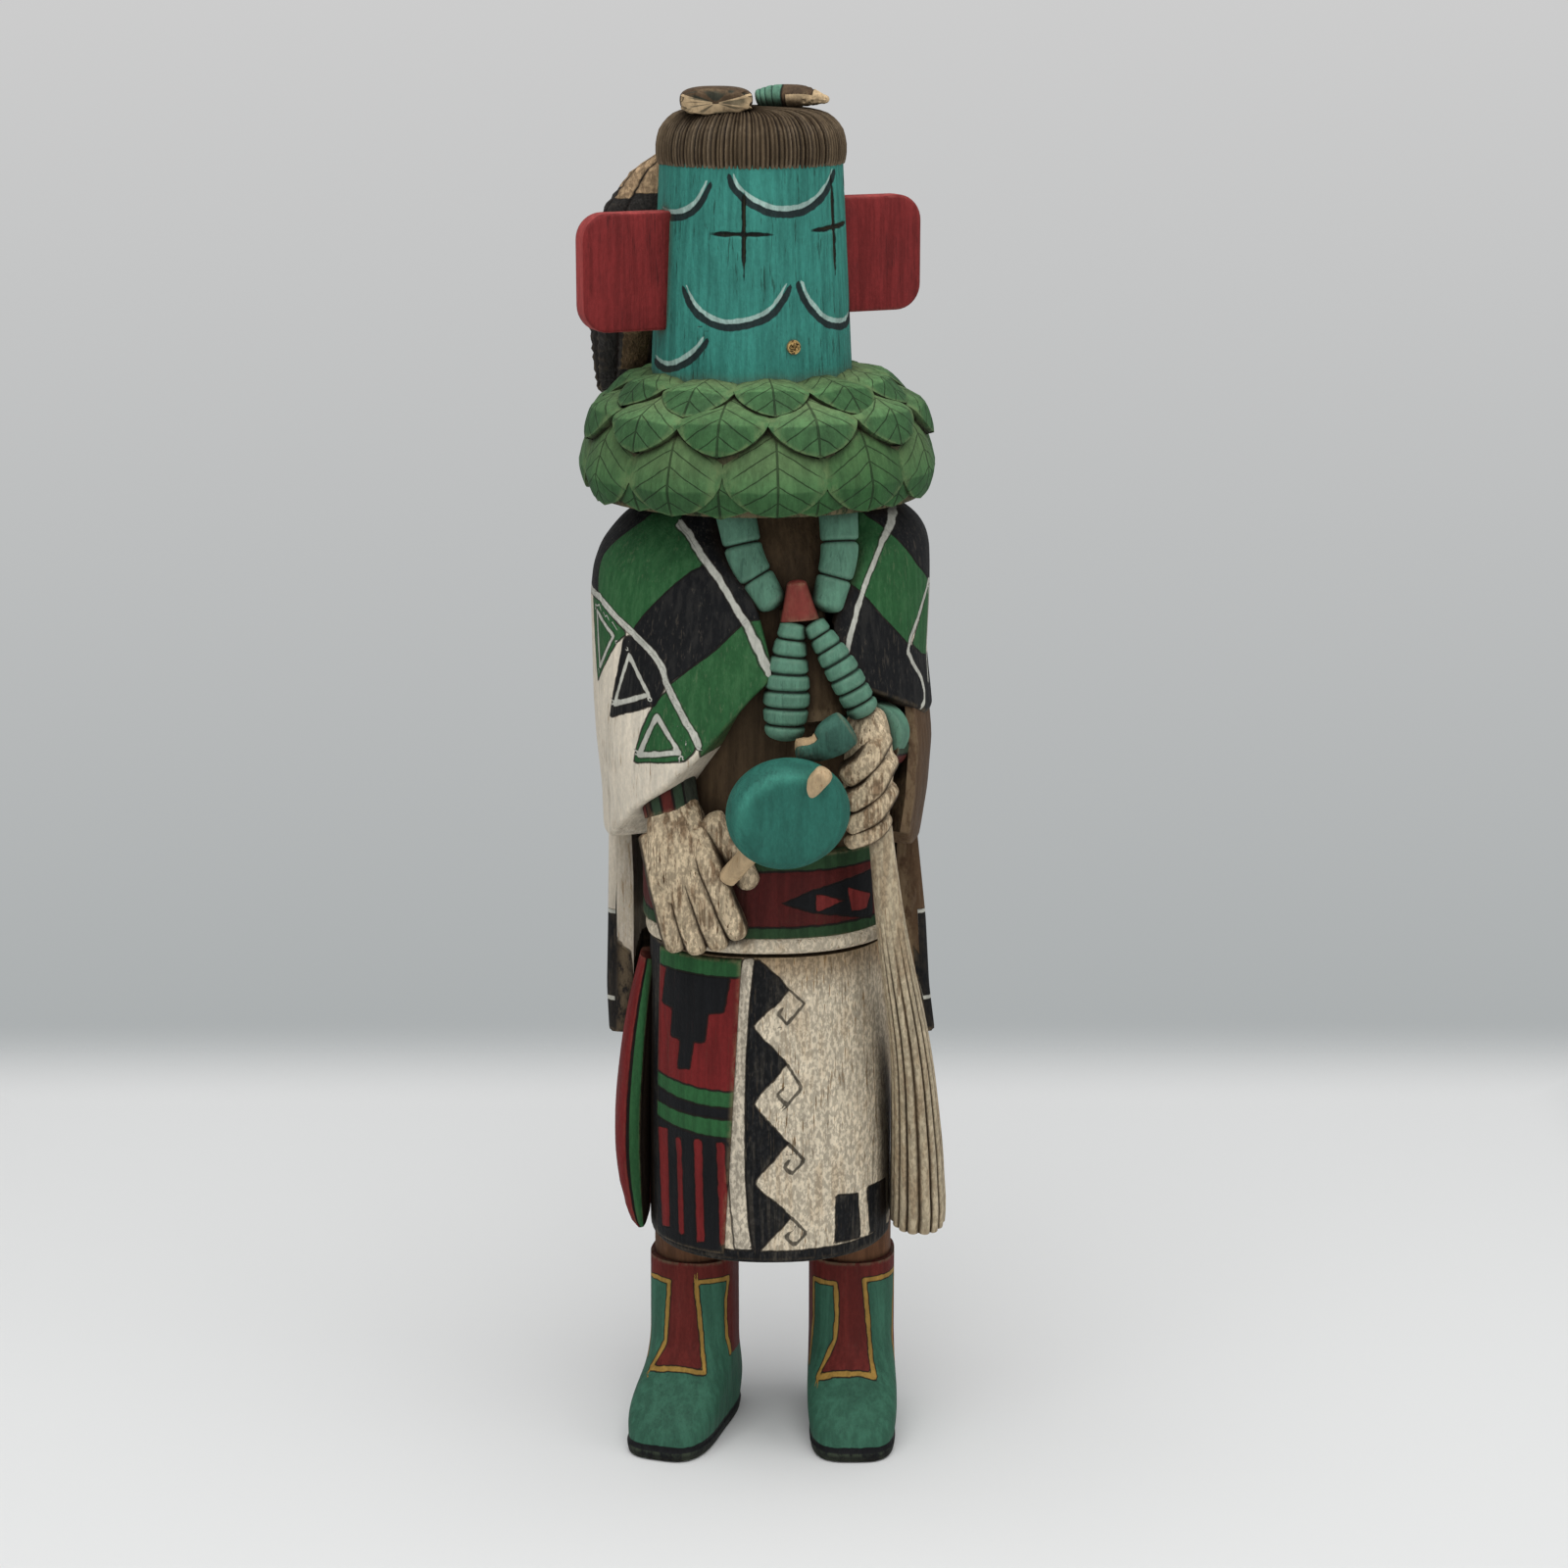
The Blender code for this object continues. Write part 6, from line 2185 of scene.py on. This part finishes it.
@dataclass
class Crest(Carved):
    """The two broken stumps on top of the head."""

    right_x: float = -14.0
    right: Sequence[tuple[float, ...]] = (
        (-18.6, 7.8, 2.7, 376.8), (-17.6, 9.3, 3.4, 377.1), (-10, 9.6, 3.6, 377.3), (-3.4, 8.4, 2.8, 377))
    left: Sequence[tuple[Point, float]] = (
        ((-3.6, -1, 376.6), 2.4), ((-1, -1.4, 377.4), 3), ((3.4, -2.2, 377.9), 3.1), ((4, -2.3, 377.9), 2.9),
        ((9.4, -3.4, 377.9), 2.9), ((12.6, -4, 377.2), 1.6), ((15.6, -4.6, 377), 0.8))
    broad: float = 1.3

    def build(self) -> None:
        """Makes both stumps."""
        rng = np.random.default_rng(5)
        chips = rng.uniform(-1.0, 1.0, (97, 97))

        def torn(turns: Array, along: Array, strength: Array) -> Array:
            """Gives the splinters of the broken wood."""
            column = ((turns + 180.0) / 360.0 * 24.0).astype(int) % 97
            return 1.0 + 0.10 * strength * chips[column, (along * 40.0).astype(int) % 97]

        def splits(turns: Array, along: Array) -> Array:
            """Marks the dark gaps between the splinters of the broken face."""
            column = ((turns + 180.0) / 360.0 * 24.0).astype(int) % 97
            return 0.6 * (chips[column, (along * 40.0).astype(int) % 97] < -0.45) * (along < 0.16)

        stations = tuple(((self.right_x, y, height), half, rise) for y, half, rise, height in self.right)
        stump = Limb(stations, 2.8, 0.8, 1.6, facing=(0.0, 0.0, 1.0))
        right = stump.build(
            "crest_right_stump", self.paints["stump_paint"], 56, 0.5,
            lambda turns, along: torn(turns, along, eased(-along, -0.22, -0.1)),
            lambda turns, along: {
                "area_torn": np.where(np.sin(np.radians(turns)) > 0.45, -1.0, (0.16 - along) * 15.0),
                "area_wrap": np.full(len(turns), -1.0), "groove": splits(turns, along)})
        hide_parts("crest_stump_right")
        settled(right)
        stations = tuple((place, radius * (1.0 if index > 4 else self.broad), radius)
                         for index, (place, radius) in enumerate(self.left))
        wrap = Limb(stations, 2.0, 0.8, 0.8, facing=(0.0, 0.0, 1.0))

        def ribs(along: Array) -> Array:
            """Gives the grooves of the turquoise wrap."""
            return (np.abs(np.sin(along * 38.0)) < 0.3) * (along < 0.36) * 1.0

        left = wrap.build(
            "crest_left_stump", self.paints["stump_paint"], 40, 0.35,
            lambda turns, along: torn(turns, along, eased(along, 0.62, 0.7)) - 0.06 * ribs(along),
            lambda turns, along: {
                "area_torn": (along - np.where(np.sin(np.radians(turns)) < 0.2, 0.42, 0.78)) * 19.0,
                "area_wrap": (0.38 - along) * 19.0, "groove": 0.8 * ribs(along)})
        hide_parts("crest_stump_left")
        settled(left)


@dataclass
class Feathers(Carved):
    """The bundle of feathers behind the head."""

    rows: Sequence[tuple[float, ...]] = (
        (291, 49.5, 17, 2.2), (296, 47, 23, 5.5), (303, 43.5, 25, 10), (314, 41, 26.6, 14.5),
        (330, 38, 26.6, 14.5), (347, 34, 25, 11.5), (357, 29.5, 19, 6.6), (362.5, 26, 12, 3))
    side: float = -3.0
    plumes: int = 12

    def build(self) -> None:
        """Makes the bundle, with its upright grooves and its banded paint."""
        table = np.array(self.rows)

        def place(turns: Array, row: Array) -> Array:
            """Lays the grid on the bundle.

            Args:
                turns: the turns.
                row: the rows.

            Returns:
                The points.
            """
            height = np.clip(row, 291, 362.5)
            behind, half, depth = (np.interp(height, table[:, 0], column) for column in table.T[1:])
            angle = np.radians(turns)
            valley = valleys(turns, self.plumes, 1.5)
            barbs = 0.012 * np.sin(height * 2.2 + 3.0 * np.abs(np.sin(angle * self.plumes / 2.0)))
            reach = 1.0 - (0.02 + 0.05 * eased(-height, -345, -310)) * valley + barbs
            reach = reach * np.where((row < 291.0) | (row > 362.5), 0.05, 1.0)
            side, ahead = oval(turns, 2.2)
            return from_head(self.side + half * side * reach, behind - depth * ahead * reach, height)

        def fields(turns: Array, row: Array) -> Fields:
            """Marks the bands, each plume at its own height.

            Args:
                turns: the turns.
                row: the rows.

            Returns:
                The attributes.
            """
            plume = np.floor((turns + 180.0) / 360.0 * self.plumes)
            shift = 1.6 * np.sin(plume * 2.4)
            tan = row - 351.0 + shift
            outer = np.where(row < 331.0, (np.abs(np.sin(np.radians(turns))) - 0.78) * 30.0, -1.0)
            dark = np.maximum(8.0 - np.abs(row - 343.0 + shift), np.maximum(outer, 303.0 + shift - row))
            groove = eased(valleys(turns, self.plumes, 1.5), 0.45, 1)
            return {"area_tan": tan, "area_dark": dark, "groove": groove}

        turns = np.linspace(-180, 180, 121)
        rows = np.r_[290.9, spread((291, 1.2), (362.5, 1)), 362.6]
        piece = skin("feather_bundle", turns, rows, place, self.paints["feather_paint"], fields)
        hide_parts("back_feathers")
        settled(piece)


@dataclass
class SnoutPeg(Carved):
    """The snapped peg in the mask's round hole."""

    radius: float = 1.85
    height: float = 314.5
    front: float = 27.2
    length: float = 7.0

    def build(self) -> None:
        """Makes the peg with its broken face."""
        rng = np.random.default_rng(3)
        chips = rng.uniform(-0.35, 0.25, (25, 9))

        def place(turns: Array, row: Array) -> Array:
            """Lays the grid on the peg: its side, then its broken face.

            Args:
                turns: the turns.
                row: the rows.

            Returns:
                The points.
            """
            column = ((turns + 180.0) / 15.0).astype(int) % 24
            face = np.clip(row - 1.0, 0, 1)
            size = self.radius * np.where(row > 1.0, 1.0 - face, 1.0)
            out = self.front - self.length * (1.0 - np.clip(row, 0, 1))
            out = out + np.where(row > 1.0, chips[column, (face * 8.0).astype(int)] * (face < 0.99), 0.0)
            angle = np.radians(turns)
            return from_head(size * np.sin(angle), -out, self.height + size * np.cos(angle))

        def fields(turns: Array, row: Array) -> Fields:
            """Darkens the splinters' gaps.

            Args:
                turns: the turns.
                row: the rows.

            Returns:
                The attributes.
            """
            column = ((turns + 180.0) / 15.0).astype(int) % 24
            face = np.clip(row - 1.0, 0, 1)
            return {"groove": (chips[column, (face * 8.0).astype(int)] < -0.18) * 0.9}

        rows = np.r_[0.0, 0.5, 0.9, 1.0, np.linspace(1.1, 2, 8)]
        piece = skin("snout_stick", np.linspace(-180, 180, 25), rows, place, self.paints["peg_wood"], fields)
        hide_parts("snout_peg")
        settled(piece)


@dataclass
class Rattle(Carved):
    """The turquoise gourd and the stick through it."""

    middle: Point = (4.4, -51.6, 195.8)
    axis: Point = (0.542, -0.437, 0.718)
    face: Point = (0.20, -0.965, -0.17)
    radius: float = 16.0
    thick: float = 13.0
    rim: float = 0.8
    curl: float = 72.0  # how far round the rim turns to either side, in degrees
    wide: float = 1.03
    tall: float = 0.95
    stick: float = 2.6
    overhang: float = 2.6
    reach: float = 30.0

    def build(self) -> None:
        """Makes the gourd and its stick."""
        middle = np.array(self.middle)
        along = np.array(self.axis) / np.linalg.norm(self.axis)
        face = np.array(self.face) / np.linalg.norm(self.face)
        across = np.cross((0.0, 0.0, 1.0), face)
        across *= self.wide / np.linalg.norm(across)
        up = np.cross(face, across) * self.tall / self.wide
        half = self.thick / 2.0

        def place(turns: Array, row: Array) -> Array:
            """Lays the grid on the gourd: one face, the round rim, the other face.

            Args:
                turns: the turns.
                row: the rows.

            Returns:
                The points.
            """
            inner = np.abs(row) > 1.0
            turn = np.radians(self.curl * np.clip(row, -1, 1))
            rim = self.radius - half * self.rim * (1.0 - np.cos(turn))
            size = np.where(inner, rim * (2.0 - np.abs(row)), rim)
            dome = 0.55 * (1.0 - (size / self.radius) ** 2)
            rise = half * np.sin(turn) / np.sin(np.radians(self.curl))
            rise = rise + np.sign(row) * np.where(inner, dome, 0.0) * 0.5
            lumps = 1.0 + 0.008 * np.sin(np.radians(turns) * 3.0 + 1.0)
            angle = np.radians(turns)
            return (middle + face * rise[:, None] + across * (size * lumps * np.cos(angle))[:, None]
                    + up * (size * lumps * np.sin(angle))[:, None])

        def fields(turns: Array, row: Array) -> Fields:
            """Paints a highlight on the upper left of the rim."""
            # painted highlight along the upper left of the rim
            rubbed = np.exp(-((np.abs(row) - 0.75) / 0.3) ** 2)
            return {"rim": 0.45 * rubbed * eased(np.cos(np.radians(turns - 125.0)), -0.2, 0.9)}

        rows = np.r_[np.linspace(-2, -1.1, 9), -1.03, np.linspace(-1, 1, 21), 1.03, np.linspace(1.1, 2, 9)]
        gourd = skin("gourd_disc", np.linspace(-180, 180, 97), rows, place, self.paints["gourd_paint"], fields)
        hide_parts("rattle_gourd")
        settled(gourd)
        start, end = middle - along * self.reach, middle + along * (self.radius + self.overhang)
        stick = Limb(((tuple(start), self.stick, self.stick), (tuple(end), self.stick, self.stick)), 2.2, 0.5,
                     1.6)
        handle = stick.build("rattle_stick", self.paints["handle_wood"], 28, 1.5,
                             lambda turns, place: 1.0 + 0.03 * np.sin(np.radians(turns) * 4.0 + 5.0 * place))
        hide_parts("rattle_handle")
        settled(handle)


@dataclass
class HeldStub(Carved):
    """The broken thing that the left hand still holds."""

    stations: Sequence[tuple[Point, float]] = (
        ((21, -43.4, 217.6), 4.6), ((17.6, -44, 215.4), 5.4), ((14, -44.6, 212.6), 4.6),
        ((12.8, -44.6, 211.6), 3.3), ((6.4, -45, 210.8), 3.3))
    flat: float = 0.8

    def build(self) -> None:
        """Makes the stub: a painted neck that widens to a torn end."""
        rng = np.random.default_rng(9)
        chips = rng.uniform(-1.0, 1.0, (37, 41))
        limb = Limb(tuple((place, radius, radius * self.flat) for place, radius in self.stations), 2.3, 1.2,
                    1.0)

        def reach(turns: Array, along: Array) -> Array:
            """Roughens the torn end."""
            column = ((turns + 180.0) / 10.0).astype(int) % 36
            return 1.0 + 0.08 * chips[column, (along * 40.0).astype(int)] * eased(along, 0.6, 0.7)

        def fields(turns: Array, along: Array) -> Fields:
            """Bares the wood on the upper side of the torn end."""
            upper = np.cos(np.radians(turns + 15.0)) > 0.3
            return {"area_torn": np.where(upper, (along - 0.56) * 16.0, -1.0)}

        piece = limb.build("stub_neck", self.paints["stub_paint"], 36, 0.5, reach, fields)
        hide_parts("held_stub")
        settled(piece)


@dataclass
class Studio:
    """The pale floor, the soft light and the camera at the photograph's angle."""

    camera_place: Point = (0, -0.8954, 0.42)
    pitch: float = 14.3
    yaw: float = -0.235
    lens: float = 76.9
    floor: float = 3.2
    fade: tuple[float, float] = (0.275, 0.375)  # where the floor passes into the grey behind
    lamps: Sequence = (
        ("overhead", (-0.04, -0.35, 1.35), (0, -0.05, 0.15), 1.3, 15),
        ("front", (-0.1, -1.7, 0.85), (0, 0, 0.2), 1.2, 5),
        ("side", (1.3, -0.7, 0.75), (0, 0, 0.2), 0.9, 3),
    )

    def build(self) -> None:
        """Makes the floor, the lights, the surroundings and the camera."""
        self.make_floor()
        self.lights()
        self.surroundings()
        camera = bpy.data.objects.new("camera", bpy.data.cameras.new("camera"))
        camera.data.lens = self.lens
        camera.data.sensor_width = 36.0
        camera.data.clip_start = 0.01
        camera.location = self.camera_place
        camera.rotation_euler = np.radians((90.0 - self.pitch, 0, self.yaw))
        bpy.context.scene.collection.objects.link(camera)
        bpy.context.scene.camera = camera

    def make_floor(self) -> None:
        """Makes the floor, which the camera sees fade softly into the grey around it."""
        form = bmesh.new()
        bmesh.ops.create_grid(form, x_segments=2, y_segments=2, size=self.floor / 2.0)
        mesh = bpy.data.meshes.new("floor")
        form.to_mesh(mesh)
        form.free()
        sheet = bpy.data.materials.new("floor_paper")
        sheet.use_nodes = True
        graph = Graph(sheet.node_tree)
        here = graph.node("ShaderNodeTexCoord").outputs["Object"]
        places = graph.node("ShaderNodeSeparateXYZ", {"Vector": here}).outputs
        away = graph.most(graph.math("ABSOLUTE", places["X"]), graph.math("ABSOLUTE", places["Y"]))
        gone = graph.smooth(away, *self.fade)
        seen = graph.node("ShaderNodeLightPath").outputs["Is Camera Ray"]
        shader = sheet.node_tree.nodes["Principled BSDF"]
        shader.inputs["Base Color"].default_value = (0.75, 0.755, 0.75, 1.0)
        shader.inputs["Roughness"].default_value = 0.85
        alpha = graph.minus(1.0, graph.times(gone, seen))
        sheet.node_tree.links.new(alpha, shader.inputs["Alpha"])
        shown("floor", mesh, sheet)

    def lights(self) -> None:
        """Places a large soft lamp overhead, one in front and a weaker one at the side."""
        for name, place, target, size, power in self.lamps:
            lamp = bpy.data.lights.new(name, "AREA")
            lamp.size = size
            lamp.energy = power
            holder = bpy.data.objects.new(name, lamp)
            holder.location = place
            holder.rotation_euler = (Vector(target) - Vector(place)).to_track_quat("-Z", "Y").to_euler()
            bpy.context.scene.collection.objects.link(holder)

    def surroundings(self) -> None:
        """Lights the doll evenly from all round, and shows a grey that pales upwards."""
        world = bpy.data.worlds.new("surroundings")
        bpy.context.scene.world = world
        world.use_nodes = True
        graph = Graph(world.node_tree)
        ahead = graph.node("ShaderNodeTexCoord").outputs["Generated"]
        height = graph.node("ShaderNodeSeparateXYZ", {"Vector": ahead}).outputs["Z"]
        rise = {"Value": height, "From Min": -0.31, "From Max": -0.02}
        pale = graph.node("ShaderNodeMapRange", rise).outputs[0]
        grey = graph.mix(pale, (0.41, 0.43, 0.434, 1.0), (0.607, 0.607, 0.607, 1.0))
        seen = graph.node("ShaderNodeLightPath").outputs["Is Camera Ray"]
        colour = graph.mix(seen, (0.39, 0.394, 0.40, 1.0), grey)
        world.node_tree.links.new(colour, world.node_tree.nodes["Background"].inputs["Color"])
        bpy.context.scene.view_settings.view_transform = "Standard"


def main() -> None:
    """Builds the doll and its surroundings."""
    logging.basicConfig(level=logging.INFO, format="%(name)s: %(message)s")
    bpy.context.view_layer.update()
    paints = mix_paints()
    forms = (Head, Ruff, Cape, Trunk, Arms, Necklace, Hangings, Boots)
    Figure(*(form(paints) for form in forms)).build()
    for part in (Ears, Crest, Feathers, SnoutPeg, Rattle, HeldStub):
        part(paints).build()
    Studio().build()


if __name__ == "__main__":
    main()
